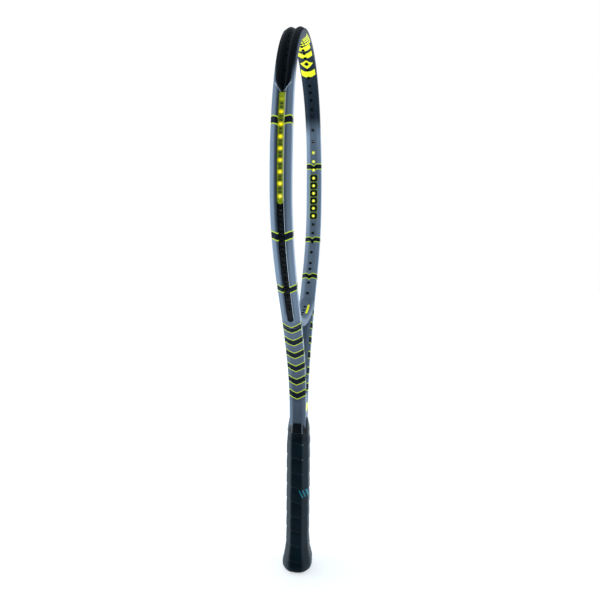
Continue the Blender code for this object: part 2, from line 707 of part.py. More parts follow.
def make_finishing_tape():
    x, y = PALLET_SIZE[0] + GAP, PALLET_SIZE[1] + GAP
    low, high = GRIP_TOP + GAP, PALLET_TOP
    outer = loft([octagon((x + TAPE_THICKNESS, y + TAPE_THICKNESS), z) for z in (low, high)])
    tape = add_object("finishing_tape", outer, CLOTH_TAPE, smooth=False)
    inner = loft([octagon((x, y), z) for z in (low - CUT_PAST, high + CUT_PAST)])
    combine(tape, add_object("finishing_inside_guide", inner), "DIFFERENCE")


def rounded_ring(size, heights, exponent, count=20):
    """Ring of a squared oval; heights is a function of the angle round it."""
    ring = []
    for k in range(count):
        a = 2 * math.pi * (k + 0.5) / count
        c, s = math.cos(a), math.sin(a)
        x = size[0] * math.copysign(abs(c) ** (2 / exponent), c)
        y = size[1] * math.copysign(abs(s) ** (2 / exponent), s)
        ring.append(Vector((x, y, heights(a))))
    return ring


def make_collar():
    """Ribbed rubber collar whose upper edge rises in a soft peak on the front and the back."""
    levels = 2 * COLLAR_RIBS
    rings = []
    for k in range(levels + 1):
        share = k / levels
        sunk = COLLAR_RIB_DEPTH if k % 2 else 0.0
        size = [half - sunk - taper * share for half, taper in zip(COLLAR_SIZE, COLLAR_TAPER)]

        def height(a, share=share):
            peak = COLLAR_PEAK * abs(math.sin(a)) ** 4 * share ** 3
            return COLLAR_BOTTOM + share * (COLLAR_TOP - COLLAR_BOTTOM) + peak

        rings.append(rounded_ring(size, height, COLLAR_EXPONENT))
    collar = add_object("collar", loft(rings), BLACK_RUBBER)
    bore = []
    for z in (COLLAR_BOTTOM - CUT_PAST, COLLAR_TOP + COLLAR_PEAK + CUT_PAST):
        bore.append(rounded_ring(COLLAR_BORE, lambda a, z=z: z, COLLAR_BORE_EXPONENT))
    combine(collar, add_object("collar_bore_guide", loft(bore)), "DIFFERENCE")


def make_tube_plugs():
    """Foam plugs that close the two open ends of the frame's tube inside the handle."""
    depth = GRIPPED_HALF_DEPTH - WALL - GAP
    thick = GRIPPED_HALF_THICKNESS - WALL - GAP
    corner = CAVITY_CORNER
    outline = [(depth - corner, thick), (depth, thick - corner)]
    outline += [(u, -v) for u, v in reversed(outline)]
    outline += [(-u, v) for u, v in reversed(outline)]
    for name, side in (("tube_plug_left", -1), ("tube_plug_right", 1)):
        centre = side * GRIPPED_CENTRE
        heights = (TUBE_END + GAP, TUBE_END + PLUG_LENGTH)
        rings = [[Vector((centre + u, v, z)) for u, v in outline] for z in heights]
        add_object(name, loft(rings), PALE_FOAM, smooth=False)


def main():
    clear_scene()
    make_frame()
    make_grommets()
    make_bridge(frame_clearance())
    pallets = make_pallets()
    cap = make_butt_cap()
    make_butt_door()
    make_staples([*pallets, cap])
    make_grip(cap)
    make_finishing_tape()
    make_collar()
    make_tube_plugs()


main()
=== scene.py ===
"""Looks of the unstrung tennis racket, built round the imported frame.

+Z runs from the butt end to the top of the head, X across the head, and the front face is at -Y. Metres.
"""

import math

import bmesh
import bpy
import numpy as np
from mathutils import Matrix, Vector


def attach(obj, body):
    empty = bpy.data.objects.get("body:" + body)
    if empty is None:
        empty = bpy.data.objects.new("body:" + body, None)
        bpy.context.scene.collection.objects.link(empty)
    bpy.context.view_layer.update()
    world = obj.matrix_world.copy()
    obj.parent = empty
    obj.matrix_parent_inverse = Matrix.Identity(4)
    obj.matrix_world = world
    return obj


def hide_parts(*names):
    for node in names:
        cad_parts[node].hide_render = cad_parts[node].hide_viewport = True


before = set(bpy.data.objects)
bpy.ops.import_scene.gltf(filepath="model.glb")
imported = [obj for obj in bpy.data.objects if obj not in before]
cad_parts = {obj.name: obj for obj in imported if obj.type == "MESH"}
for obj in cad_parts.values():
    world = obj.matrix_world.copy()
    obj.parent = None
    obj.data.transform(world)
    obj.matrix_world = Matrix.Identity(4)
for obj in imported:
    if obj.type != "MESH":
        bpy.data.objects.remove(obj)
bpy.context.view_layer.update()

# Outline of the tube's centre line, as in the CAD
LENGTH = 0.6858
HEAD_HALF_WIDTH = 0.1242
WIDEST_HEIGHT = 0.4911
WIDTH_EXPONENT = 2.10
RISE_EXPONENT = 2.52
ARM_UPPER_PULL = 0.1060
ARM_LOWER_PULL = 0.1205
SHAFT_TOP = 0.2095
SHAFT_CENTRE = 0.0072
GRIPPED_CENTRE = 0.0066
SHAFT_NARROWS_FROM = 0.1960
SHAFT_NARROWS_TO = 0.1905
TUBE_END = 0.0105

# Section of the tube: half sizes in the string plane and through it, and how far its facets reach
HEAD_HALF_DEPTH = 0.00679
SHAFT_HALF_DEPTH = 0.0064
GRIPPED_HALF_DEPTH = 0.0060
SHAFT_HALF_THICKNESS = 0.01053
GRIPPED_HALF_THICKNESS = 0.0094
HALF_THICKNESS = ((SHAFT_NARROWS_TO, GRIPPED_HALF_THICKNESS), (SHAFT_NARROWS_FROM, SHAFT_HALF_THICKNESS),
                  (0.2300, 0.0106), (0.3000, 0.0111), (0.3600, 0.0108), (0.4500, 0.0112), (0.5300, 0.0112),
                  (0.6000, 0.01053))
SECTION_EXPONENT = 3.5
CREASE_SHARES = (0.55, 0.42)
SIDE_SHARES = (0.60, 0.52)
SECTION_SOFTNESS = 30
HAIR = 0.00007

# String groove, ending 2 mm higher than in the CAD as the photo shows; bumper guard, a V at its tips; strips
GROOVE_HALF_WIDTH = 0.0035
GROOVE_DEPTH = 0.0028
GROOVE_END = 0.3465
BUMPER_TIP = 0.5795
BUMPER_HALF_WIDTHS = ((BUMPER_TIP, 0.0002), (0.5808, 0.0008), (0.5838, 0.0030), (0.5870, 0.0050),
                      (0.5905, 0.0067), (0.5940, 0.0074), (0.6650, 0.0090))
BUMPER_RECESS = 0.0013
GROOVE_LIP = 0.0006
STRIP_BREAK = 0.4715
STRIP_HALF_WIDTH = 0.0031
STRIP_BED_DEPTH = 0.0025
POCKET_SHARES = (0.36, 0.64)
BARREL_STANDS_OUT = 0.0008
HEAD_HOLES = (0.0048, 0.0145, 0.0245, 0.0355, 0.0480, 0.0610, 0.0740,
              0.0845, 0.0960, 0.1095, 0.1200, 0.1390, 0.1555)
SIDE_HOLES = (0.1715, 0.1845, 0.1970, 0.2090, 0.2203, 0.2316, 0.2428, 0.2541, 0.2660)
LOWER_HOLES = (0.2797, 0.2938, 0.3089, 0.3257, 0.3446, 0.3545, 0.3679, 0.3780, 0.3957)
HOLE_RADIUS = 0.0022
WIDE_HOLE_RADIUS = 0.0025
BARREL_RADIUS = 0.0019
WIDE_BARREL_RADIUS = 0.0022
BORE_RADIUS = 0.0012

# Bridge, which flares where it runs into the arms
BRIDGE_CENTRE_TOP = 0.3405
BRIDGE_TOP_RADIUS = 0.110
BRIDGE_CENTRE_BOTTOM = 0.3290
BRIDGE_BOTTOM_RADIUS = 0.145
BRIDGE_HALF_THICKNESS = 0.0094
BRIDGE_GROOVE_DEPTH = 0.0022
BRIDGE_FLARES_FROM = 0.036
BRIDGE_TOP_FLARE = 3.0
BRIDGE_BOTTOM_FLARE = 14.0
BRIDGE_MAINS = (0.0047, 0.0140, 0.0235, 0.0330, 0.0423)
THROAT_STRIP_HALF_SPAN = 0.0449
BRIDGE_GROOVE_HALF_SPAN = THROAT_STRIP_HALF_SPAN + 0.002

# Handle, rounder at the butt end and with a lower collar than in the CAD, as the photo shows
HANDLE_POINTS = 96
GRIP_POINTS = 128
FRONT_FLAT = 0.456
SIDE_FLAT = 0.490
CORNER_SOFTNESS = 26
PALLET_TOP = 0.1895
GRIP_BOTTOM = 0.0040
GRIP_TOP = 0.1800
WIDER_ACROSS_X = 0.0020
FLARE = ((0.0040, 0.0198), (0.0085, 0.0200), (0.0135, 0.0191), (0.0190, 0.0178), (0.0255, 0.0165),
         (0.0340, 0.0155), (0.0450, 0.0150), (0.1760, 0.0150), (0.1800, 0.0146))
CAP_RIM = ((0.0060, 0.0180), (0.0037, 0.0197), (0.0025, 0.0192), (0.0014, 0.0183), (0.0005, 0.0170),
           (0.0000, 0.0156))
WRAP_PITCH = 0.0200
WRAP_START = 0.0060
WRAP_STEP = 0.0008
COLLAR_BOTTOM = 0.1898
COLLAR_TOP = 0.2029
COLLAR_PEAK = 0.0040
COLLAR_RIBS = 10
COLLAR_RIB_DEPTH = 0.0008


# Outline

def bezier(points, count):
    t = np.linspace(0.0, 1.0, count)[:, None]
    weights = np.hstack([(1 - t) ** 3, 3 * t * (1 - t) ** 2, 3 * t * t * (1 - t), t ** 3])
    return weights @ np.array(points)


def trace_outline():
    angle = np.linspace(0.0, math.pi / 2, 500)
    rise = LENGTH - HEAD_HALF_DEPTH - WIDEST_HEIGHT
    head = np.column_stack([
        HEAD_HALF_WIDTH * np.sin(angle) ** (2 / WIDTH_EXPONENT),
        WIDEST_HEIGHT + rise * np.cos(angle) ** (2 / RISE_EXPONENT),
    ])
    arm = bezier([(HEAD_HALF_WIDTH, WIDEST_HEIGHT), (HEAD_HALF_WIDTH, WIDEST_HEIGHT - ARM_UPPER_PULL),
                  (SHAFT_CENTRE, SHAFT_TOP + ARM_LOWER_PULL), (SHAFT_CENTRE, SHAFT_TOP)], 500)
    shaft = np.array([(SHAFT_CENTRE, SHAFT_NARROWS_FROM), (GRIPPED_CENTRE, SHAFT_NARROWS_TO),
                      (GRIPPED_CENTRE, TUBE_END)])
    points = np.vstack([head, arm[1:], shaft])
    steps = np.hypot(*np.diff(points, axis=0).T)
    return np.concatenate([[0.0], np.cumsum(steps)]), points[:, 0], points[:, 1]


RUN, OUTLINE_X, OUTLINE_Z = trace_outline()
SHAFT_RUN = float(np.interp(-SHAFT_TOP, -OUTLINE_Z, RUN))


def run_at(z):
    """Distance from the top of the head, along the centre line, at a height."""
    return float(np.interp(-z, -OUTLINE_Z, RUN))


def place(s):
    """Centre-line point and outward normal at a signed distance from the top of the head."""
    side = 1.0 if s >= 0 else -1.0
    reach = abs(s)
    x = float(np.interp(reach, RUN, OUTLINE_X))
    z = float(np.interp(reach, RUN, OUTLINE_Z))
    if reach >= SHAFT_RUN:
        return Vector((side * x, 0.0, z)), Vector((side, 0.0, 0.0))
    near = 0.0005
    before = max(reach - near, 0.0)
    step_x = float(np.interp(reach + near, RUN, OUTLINE_X) - np.interp(before, RUN, OUTLINE_X))
    step_z = float(np.interp(reach + near, RUN, OUTLINE_Z) - np.interp(before, RUN, OUTLINE_Z))
    if reach < near:
        step_z = 0.0
    normal = Vector((-step_z, 0.0, step_x)).normalized()
    return Vector((side * x, 0.0, z)), Vector((side * normal.x, 0.0, normal.z))


def half_depth(z):
    """Half depth of the tube in the string plane, a hair under the CAD's to stay inside its facets."""
    heights = (SHAFT_NARROWS_TO, SHAFT_NARROWS_FROM, 0.21, 0.33)
    depths = (GRIPPED_HALF_DEPTH, SHAFT_HALF_DEPTH, SHAFT_HALF_DEPTH, HEAD_HALF_DEPTH)
    return float(np.interp(z, heights, depths)) - HAIR


def from_table(z, table):
    """Value at a height, from a table of heights and values."""
    heights, values = zip(*table)
    return float(np.interp(z, heights, values))


def tube_radius(angle, depth, thick):
    """Distance of the tube's surface from its centre line: a flat rim with a slanted face on either side."""
    outward, across = math.cos(angle), math.sin(angle)
    which = 0 if outward > 0 else 1
    crease = CREASE_SHARES[which] * thick
    side = SIDE_SHARES[which] * depth
    edge = (depth - side, thick - crease)
    length = math.hypot(*edge)
    reach = (edge[1] * depth + edge[0] * crease) / length
    slanted = (abs(outward) * edge[1] + across * edge[0]) / (length * reach)
    total = sum(value ** SECTION_SOFTNESS for value in (abs(outward) / depth, across / thick, slanted))
    return total ** (-1 / SECTION_SOFTNESS)


def tube_point(angle, depth, thick):
    radius = tube_radius(angle, depth, thick)
    return radius * math.cos(angle), radius * math.sin(angle)


def tube_angles(depth, thick):
    """Angles round half the section, close together at its creases."""
    creases = [math.atan2(CREASE_SHARES[0] * thick, depth), math.atan2(thick, SIDE_SHARES[0] * depth),
               math.atan2(thick, -SIDE_SHARES[1] * depth), math.atan2(CREASE_SHARES[1] * thick, -depth)]
    angles = [a + step for a in creases for step in (-0.12, -0.06, -0.03, 0.0, 0.03, 0.06, 0.12)]
    angles += [0.5 * (low + high) for low, high in zip(creases, creases[1:] + [math.pi])]
    return sorted(angles)


def face(v, depth, thick):
    """Height of a squared oval's face over its centre line, v away from the string plane."""
    share = min(abs(v) / thick, 1.0)
    return depth * (1 - share ** SECTION_EXPONENT) ** (1 / SECTION_EXPONENT)


# Mesh helpers

def mesh_object(name, shape):
    bmesh.ops.recalc_face_normals(shape, faces=shape.faces)
    mesh = bpy.data.meshes.new(name)
    shape.to_mesh(mesh)
    shape.free()
    made = bpy.data.objects.new(name, mesh)
    bpy.context.scene.collection.objects.link(made)
    return made


def loft(rings, shape=None, looped=False):
    """Skin a list of rings, each a list of points; cap its two ends, or join them when it is looped."""
    shape = shape or bmesh.new()
    rows = [[shape.verts.new(point) for point in ring] for ring in rings]
    count = len(rows[0])
    pairs = list(zip(rows, rows[1:]))
    if looped:
        pairs.append((rows[-1], rows[0]))
    else:
        shape.faces.new(rows[0])
        shape.faces.new(list(reversed(rows[-1])))
    for low, high in pairs:
        for i in range(count):
            j = (i + 1) % count
            shape.faces.new((low[i], low[j], high[j], high[i]))
    return shape


def mirrored(half):
    """A whole section from its half at v >= 0; points on the string plane are kept once."""
    return half + [(u, -v) for u, v in reversed(half) if v > 0]


def section_ring(s, half):
    centre, normal = place(s)
    return [centre + u * normal + Vector((0.0, v, 0.0)) for u, v in mirrored(half)]


def turned(start, along, profile, shape, sides=20):
    """A round solid along an axis, from its profile of heights and radii."""
    across = Vector((0.0, 1.0, 0.0))
    other = along.cross(across)
    angles = [2 * math.pi * k / sides for k in range(sides)]
    turns = [math.cos(a) * across + math.sin(a) * other for a in angles]
    loft([[start + height * along + radius * turn for turn in turns] for height, radius in profile], shape)


def rod(start, end, radius, shape, sides=20):
    along = end - start
    turned(start, along.normalized(), ((0.0, radius), (along.length, radius)), shape, sides)


def upright_rod(x, low, high, radius, shape, sides=20):
    rod(Vector((x, 0.0, low)), Vector((x, 0.0, high)), radius, shape, sides)


def settle(made, *steps, angle=38):
    """Join or cut the given (shape, operation) steps, and shade the result smooth with sharp edges."""
    guides = []
    for shape, operation in steps:
        guides.append(mesh_object("guide", shape))
        modifier = made.modifiers.new(operation.lower(), "BOOLEAN")
        modifier.operation = operation
        modifier.solver = "MANIFOLD"
        modifier.object = guides[-1]
    evaluated = made.evaluated_get(bpy.context.evaluated_depsgraph_get())
    mesh = bpy.data.meshes.new_from_object(evaluated)
    made.modifiers.clear()
    made.data = mesh
    mesh.materials.clear()
    for guide in guides:
        bpy.data.objects.remove(guide, do_unlink=True)
    mesh.shade_smooth()
    mesh.set_sharp_from_angle(angle=math.radians(angle))
    return made


def stations(start, end, step, extra=()):
    """Distances from start to end, at most a step apart, with denser runs (from, to, step) added."""
    found = list(np.linspace(start, end, max(2, math.ceil((end - start) / step) + 1)))
    for low, high, fine in extra:
        found = [s for s in found if not low - 0.3 * fine < s < high + 0.3 * fine]
        found += list(np.linspace(low, high, math.ceil((high - low) / fine) + 1))
    return sorted(float(s) for s in found)


def both_sides(distances):
    return [-s for s in reversed(distances) if s > 0] + list(distances)


def store(made, **columns):
    """Keep one number for each vertex under each name, for the paint to read."""
    for name, values in columns.items():
        attribute = made.data.attributes.new(name, "FLOAT", "POINT")
        attribute.data.foreach_set("value", values.astype(np.float32))


def mark_paint_axes(made):
    """Store, for each vertex, its distance along the centre line and its offset outward from it."""
    reach = np.linspace(0.0, RUN[-1], 2200)
    x = np.interp(reach, RUN, OUTLINE_X)
    z = np.interp(reach, RUN, OUTLINE_Z)
    ax, az = np.gradient(x, reach), np.gradient(z, reach)
    count = len(made.data.vertices)
    points = np.zeros(count * 3)
    made.data.vertices.foreach_get("co", points)
    points = points.reshape(-1, 3)
    side = np.where(points[:, 0] < 0, -1.0, 1.0)
    flat = np.column_stack([np.abs(points[:, 0]), points[:, 2]])
    run, out = np.zeros(count), np.zeros(count)
    block = 4000
    for low in range(0, count, block):
        part = flat[low:low + block]
        gap = (part[:, None, 0] - x) ** 2 + (part[:, None, 1] - z) ** 2
        nearest = gap.argmin(axis=1)
        dx = part[:, 0] - x[nearest]
        dz = part[:, 1] - z[nearest]
        run[low:low + block] = reach[nearest] + dx * ax[nearest] + dz * az[nearest]
        out[low:low + block] = -dx * az[nearest] + dz * ax[nearest]
    store(made, run=run, side_run=run * side, out=out)


# Frame tube

def tube_half(s):
    """Half section of the tube: string groove, recess under the bumper guard, then the creased section."""
    centre, _ = place(s)
    z = centre.z
    depth, thick = half_depth(z), from_table(z, HALF_THICKNESS)
    past_end = abs(s) - run_at(GROOVE_END)
    narrowing = float(np.clip(-past_end / GROOVE_HALF_WIDTH, 0.0, 1.0))
    wide = max(GROOVE_HALF_WIDTH * math.sqrt(1 - (1 - narrowing) ** 2), 0.0002)
    groove = GROOVE_DEPTH * min(1.0, 5 * narrowing)
    covered = from_table(z, BUMPER_HALF_WIDTHS) if z > BUMPER_TIP else 0.0
    if z > BUMPER_TIP + 0.0002:
        wide = min(wide, max(covered - 0.0004, 0.0003))
    recess = BUMPER_RECESS * float(np.clip((covered - wide) / 0.0008, 0.0, 1.0))
    rim = max(covered + 0.0003, wide + 0.0016)
    lip = GROOVE_LIP

    quarter = [tube_point(a, depth, thick) for a in np.linspace(0.0, 0.36 * math.pi, 60).tolist()]
    heights, widths = zip(*quarter)

    def top(v):
        return float(np.interp(v, widths, heights))

    half = [(depth - groove, 0.0), (depth - groove, 0.55 * wide), (depth - groove, 0.88 * wide),
            (depth - 0.9 * groove, wide)]
    half += [(top(wide) - recess - min(lip, 0.5 * groove), wide),
             (top(wide) - recess - min(0.3 * lip, 0.2 * groove), wide + 0.25 * lip),
             (top(wide + lip) - recess, wide + lip), (top(rim) - recess, rim),
             (top(rim + 0.0004) - 0.3 * recess, rim + 0.0002), (top(rim + 0.0009), rim + 0.0009)]
    first = math.atan2(rim + 0.0009, top(rim + 0.0009))
    for order, angle in enumerate(tube_angles(depth, thick)):
        half.append(tube_point(max(angle, first + 0.004 * (order + 1)), depth, thick))
    half.append((-depth, 0.0))
    return half


def shaft_web():
    """Filler between the two legs of the shaft, up to the rounded bottom of the throat."""
    half_wide = 0.0042
    rise = 0.0035
    top = 0.2395
    rings = []
    for share in np.linspace(-1.0, 1.0, 15):
        x = half_wide * share
        crest = top + rise * (1 - math.sqrt(1 - (0.98 * share) ** 2))
        flat = 0.01032 - 0.00012 * (1 - abs(share))
        gripped = flat - (SHAFT_HALF_THICKNESS - GRIPPED_HALF_THICKNESS)
        profile = [(gripped, TUBE_END + 0.0002), (gripped, SHAFT_NARROWS_TO), (flat, SHAFT_NARROWS_FROM),
                   (flat, crest - 0.0020), (flat - 0.0007, crest - 0.0006), (flat - 0.0022, crest),
                   (flat - 0.0060, crest + 0.0004)]
        ring = profile + [(-y, z) for y, z in reversed(profile)]
        rings.append([Vector((x, y, z)) for y, z in ring])
    return loft(rings)


def hole_rods(distances, radius, shape):
    reach = 0.012
    for s in both_sides(distances):
        centre, normal = place(s)
        rod(centre - reach * normal, centre + reach * normal, radius, shape)


def make_frame():
    end = run_at(GROOVE_END)
    tip = run_at(BUMPER_TIP)
    fine = [(end - 0.0040, end + 0.0002, 0.0004), (run_at(0.5935), tip + 0.0006, 0.0007),
            (run_at(SHAFT_NARROWS_FROM), run_at(SHAFT_NARROWS_TO), 0.0018)]
    runs = stations(0.0, float(RUN[-1]), 0.0042, fine)
    tube = mesh_object("racket_frame", loft([section_ring(s, tube_half(s)) for s in both_sides(runs)]))
    holes = bmesh.new()
    hole_rods(HEAD_HOLES + LOWER_HOLES, HOLE_RADIUS, holes)
    hole_rods(SIDE_HOLES, WIDE_HOLE_RADIUS, holes)
    settle(tube, (shaft_web(), "UNION"), (holes, "DIFFERENCE"))
    mark_paint_axes(tube)
    return tube


# Bridge

def arc_height(x, centre_height, radius):
    return centre_height + radius - math.sqrt(radius * radius - x * x)


def bridge_edges(x):
    """Bottom and top height of the bridge, flared where it runs into the arms."""
    flare = max(0.0, abs(x) - BRIDGE_FLARES_FROM) ** 2
    top = arc_height(x, BRIDGE_CENTRE_TOP, BRIDGE_TOP_RADIUS) + BRIDGE_TOP_FLARE * flare
    bottom = arc_height(x, BRIDGE_CENTRE_BOTTOM, BRIDGE_BOTTOM_RADIUS) - BRIDGE_BOTTOM_FLARE * flare
    return bottom, top


def bridge_half(x):
    bottom, top = bridge_edges(x)
    depth = 0.5 * (top - bottom)
    thick = BRIDGE_HALF_THICKNESS + 0.0009 * float(np.interp(abs(x), (0.030, 0.055), (0.0, 1.0)))
    narrowing = float(np.clip((BRIDGE_GROOVE_HALF_SPAN - abs(x)) / 0.0035, 0.0, 1.0))
    wide = max(GROOVE_HALF_WIDTH * math.sqrt(1 - (1 - narrowing) ** 2), 0.0002)
    groove = BRIDGE_GROOVE_DEPTH * min(1.0, 5 * narrowing)
    lip = face(wide, depth, thick)
    half = [(depth - groove, 0.0), (depth - groove, 0.88 * wide), (depth - 0.9 * groove, wide),
            (lip - 0.2 * groove, wide + 0.0001), (lip, wide + 0.0006)]
    first = math.asin(((wide + 0.0012) / thick) ** (SECTION_EXPONENT / 2))
    for a in [*np.linspace(first, math.pi / 2, 12), *np.linspace(math.pi / 2, math.pi, 15)[1:-1]]:
        u = depth * math.copysign(abs(math.cos(a)) ** (2 / SECTION_EXPONENT), math.cos(a))
        half.append((u, thick * math.sin(a) ** (2 / SECTION_EXPONENT)))
    half.append((-depth, 0.0))
    return half


def bridge_ring(x):
    bottom, top = bridge_edges(x)
    middle = 0.5 * (top + bottom)
    return [Vector((x, v, middle - u)) for u, v in mirrored(bridge_half(x))]


def bridge_span():
    """Where the bridge's middle line meets the arms' centre line."""
    for x in np.arange(0.040, 0.070, 0.0002):
        bottom, top = bridge_edges(float(x))
        if float(np.interp(-0.5 * (top + bottom), -OUTLINE_Z, OUTLINE_X)) < x:
            return float(x)
    return 0.06


def make_bridge():
    edge = BRIDGE_GROOVE_HALF_SPAN
    runs = stations(0.0, bridge_span(), 0.0025, [(edge - 0.0038, edge + 0.0002, 0.0004)])
    bridge = mesh_object("throat_bridge", loft([bridge_ring(x) for x in both_sides(runs)]))
    holes = bmesh.new()
    for x in both_sides(BRIDGE_MAINS):
        bottom, top = bridge_edges(x)
        upright_rod(x, bottom - 0.004, top + 0.004, HOLE_RADIUS, holes)
    return settle(bridge, (holes, "DIFFERENCE"))


# Bumper guard and strips

def bumper_ring(s):
    """Two rounded ridges, the string channel between them, and the underside in the recess."""
    centre, _ = place(s)
    z = centre.z
    depth, thick = half_depth(z), from_table(z, HALF_THICKNESS)
    wide = from_table(z, BUMPER_HALF_WIDTHS)
    channel = min(0.0021, 0.36 * wide)
    crest = 0.60 * wide
    full = float(np.interp(wide, (0.003, 0.007), (0.0, 1.0)))
    top = min(face(crest, depth, thick) + 0.0003 * full, depth - 0.0001)
    brim = face(channel, depth, thick) - 0.0012 * full
    sunk = 0.0026 if wide > 0.001 else 0.0014
    half = [(depth - sunk, 0.0), (depth - sunk, 0.6 * channel), (depth - 0.93 * sunk, channel)]
    for share in np.linspace(0.0, 1.0, 8).tolist():
        half.append((brim + (top - brim) * math.sin(0.5 * math.pi * share) ** 1.2,
                     channel + 0.0002 * full + (crest - channel - 0.0002 * full) * share))
    edge = face(wide, depth, thick) - 0.0003
    for share in (0.15, 0.3, 0.45, 0.6, 0.72, 0.82, 0.9, 0.96, 1.0):
        v = crest + (wide - crest) * share
        falling = share ** 3
        lowered = face(v, depth, thick) - face(crest, depth, thick)
        half.append(((1 - falling) * (top + lowered) + falling * edge, v))
    half += [(face(wide, depth, thick) - 0.0012, wide - 0.0001), (depth - 0.0014, min(0.0034, 0.8 * wide)),
             (depth - 0.0030, min(0.0031, 0.7 * wide)), (depth - 0.0031, 0.0)]
    return section_ring(s, half)


def fit_barrels(strip, distances, radius, floor_depth):
    """Add the barrels with rounded ends that line the string holes, and bore through them."""
    solid, bores = bmesh.new(), bmesh.new()
    for s in distances:
        centre, normal = place(s)
        depth = half_depth(centre.z)
        inner = -(depth + BARREL_STANDS_OUT)
        turned(centre, normal, ((inner, radius - 0.0004), (inner + 0.0002, radius - 0.0001),
                                (inner + 0.0005, radius), (depth - floor_depth, radius)), solid)
        rod(centre + (inner - 0.002) * normal, centre + (depth + 0.002) * normal, BORE_RADIUS, bores, 16)
    return settle(strip, (solid, "UNION"), (bores, "DIFFERENCE"))


def make_bumper():
    tip = run_at(BUMPER_TIP)
    runs = stations(0.0, tip, 0.0040, [(run_at(0.6010), tip, 0.0008)])
    bumper = mesh_object("head_guard", loft([bumper_ring(s) for s in both_sides(runs)]))
    return fit_barrels(bumper, both_sides(HEAD_HOLES), BARREL_RADIUS, 0.0028)


def pocket_middles(holes):
    """Places of the two small pockets between each pair of holes."""
    return [before + share * (after - before)
            for before, after in zip(holes, holes[1:]) for share in POCKET_SHARES]


def strip_height(s, v, holes):
    """Height of a strip's outer face under the tube's: a flange at each hole, two pockets between holes."""
    height = -0.0011 - 0.0003 * (abs(v) / STRIP_HALF_WIDTH) ** 4
    reach = abs(s)
    for hole in holes:
        distance = math.hypot(reach - hole, v)
        height += 0.0004 * math.exp(-((distance - 0.0021) / 0.0005) ** 2)
    for middle in pocket_middles(holes):
        inside = ((reach - middle) / 0.0013) ** 4 + (v / 0.0018) ** 4
        height -= 0.0008 / (1 + inside ** 2)
    return height


def mark_holes(strip, holes):
    """Store, for each vertex, how near it lies to a hole, where a painted glow stands for light shining
    through, and to a pocket, where shade is painted.
    """
    count = len(strip.data.vertices)
    reach, points = np.zeros(count, np.float32), np.zeros(count * 3, np.float32)
    strip.data.attributes["run"].data.foreach_get("value", reach)
    strip.data.vertices.foreach_get("co", points)
    across = points[1::3]
    gap = np.abs(reach[:, None] - np.array(holes)).min(axis=1)
    glow = np.exp(-(np.hypot(gap, 0.55 * across) / 0.0021) ** 4)
    pocket = np.zeros(count)
    for middle in pocket_middles(holes):
        inside = ((reach - middle) / 0.0015) ** 4 + (across / 0.0021) ** 4
        pocket = np.maximum(pocket, 1 / (1 + inside ** 2))
    store(strip, glow=glow, pocket=pocket)


def make_strip(name, start, end, holes, radius):
    sign = -1.0 if "left" in name else 1.0
    rings = []
    columns = np.linspace(-STRIP_HALF_WIDTH, STRIP_HALF_WIDTH, 15).tolist()
    for s in stations(start, end, 0.0006):
        centre, normal = place(sign * s)
        depth = half_depth(centre.z)
        rounded = min(1.0, (end - s) / 0.0030)
        shrink = max(0.25, math.sqrt(1 - (1 - rounded) ** 2))
        top = [(depth + strip_height(s, v, holes), shrink * v) for v in columns]
        low = [(depth - STRIP_BED_DEPTH, shrink * v) for v in (STRIP_HALF_WIDTH, 0.0, -STRIP_HALF_WIDTH)]
        rings.append([centre + u * normal + Vector((0.0, v, 0.0)) for u, v in top + low])
    strip = mesh_object(name, loft(rings))
    fit_barrels(strip, [sign * s for s in holes], radius, 0.0019)
    mark_paint_axes(strip)
    mark_holes(strip, holes)
    return strip


def make_throat_strip():
    rings = []
    span = THROAT_STRIP_HALF_SPAN
    wide = STRIP_HALF_WIDTH
    for x in np.linspace(-span, span, 61).tolist():
        bottom = bridge_edges(x)[0]
        gap = min(abs(abs(x) - m) for m in BRIDGE_MAINS)
        low = bottom + 0.0006 - 0.0003 * math.exp(-(gap / 0.0018) ** 4)
        profile = ((-wide, low + 0.0003), (-0.8 * wide, low), (0.8 * wide, low), (wide, low + 0.0003),
                   (wide, bottom + 0.0018), (-wide, bottom + 0.0018))
        rings.append([Vector((x, y, z)) for y, z in profile])
    strip = mesh_object("throat_strip", loft(rings))
    solid, bores = bmesh.new(), bmesh.new()
    for x in both_sides(BRIDGE_MAINS):
        bottom, top = bridge_edges(x)
        upright_rod(x, bottom + 0.0012, top + BARREL_STANDS_OUT, BARREL_RADIUS, solid)
        upright_rod(x, bottom - 0.003, top + 0.004, BORE_RADIUS, bores, 16)
    return settle(strip, (solid, "UNION"), (bores, "DIFFERENCE"))


# Handle

def octagon_radius(angle, half_x, half_y, softness):
    """Radius of an eight-sided section with softened corners, inside the sharp one."""
    corner_x = (FRONT_FLAT * half_x, half_y)
    corner_y = (half_x, SIDE_FLAT * half_y)
    edge = (corner_y[0] - corner_x[0], corner_x[1] - corner_y[1])
    length = math.hypot(*edge)
    nx, ny = edge[1] / length, edge[0] / length
    reach = corner_x[0] * nx + corner_x[1] * ny
    c, s = abs(math.cos(angle)), abs(math.sin(angle))
    total = (c / half_x) ** softness + (s / half_y) ** softness + ((c * nx + s * ny) / reach) ** softness
    return total ** (-1 / softness)


def octagon_ring(half_x, half_y, z, count=HANDLE_POINTS, inset=lambda a: 0.0, softness=CORNER_SOFTNESS,
                 lift=lambda a: 0.0):
    ring = []
    for k in range(count):
        a = 2 * math.pi * k / count
        r = octagon_radius(a, half_x, half_y, softness) - inset(a)
        ring.append(Vector((r * math.cos(a), r * math.sin(a), z + lift(a))))
    return ring


def soft_flare(z):
    """The flare with its straight runs eased into one curve, a hair inside the CAD's."""
    return sum(from_table(z + d, FLARE) for d in (-0.002, -0.001, 0.0, 0.001, 0.002)) / 5 - 0.00005


def corner_softness(z):
    """Sharpness of the handle's corners, which are rounder towards the butt end."""
    return from_table(z, ((0.0, 9.0), (0.030, CORNER_SOFTNESS)))


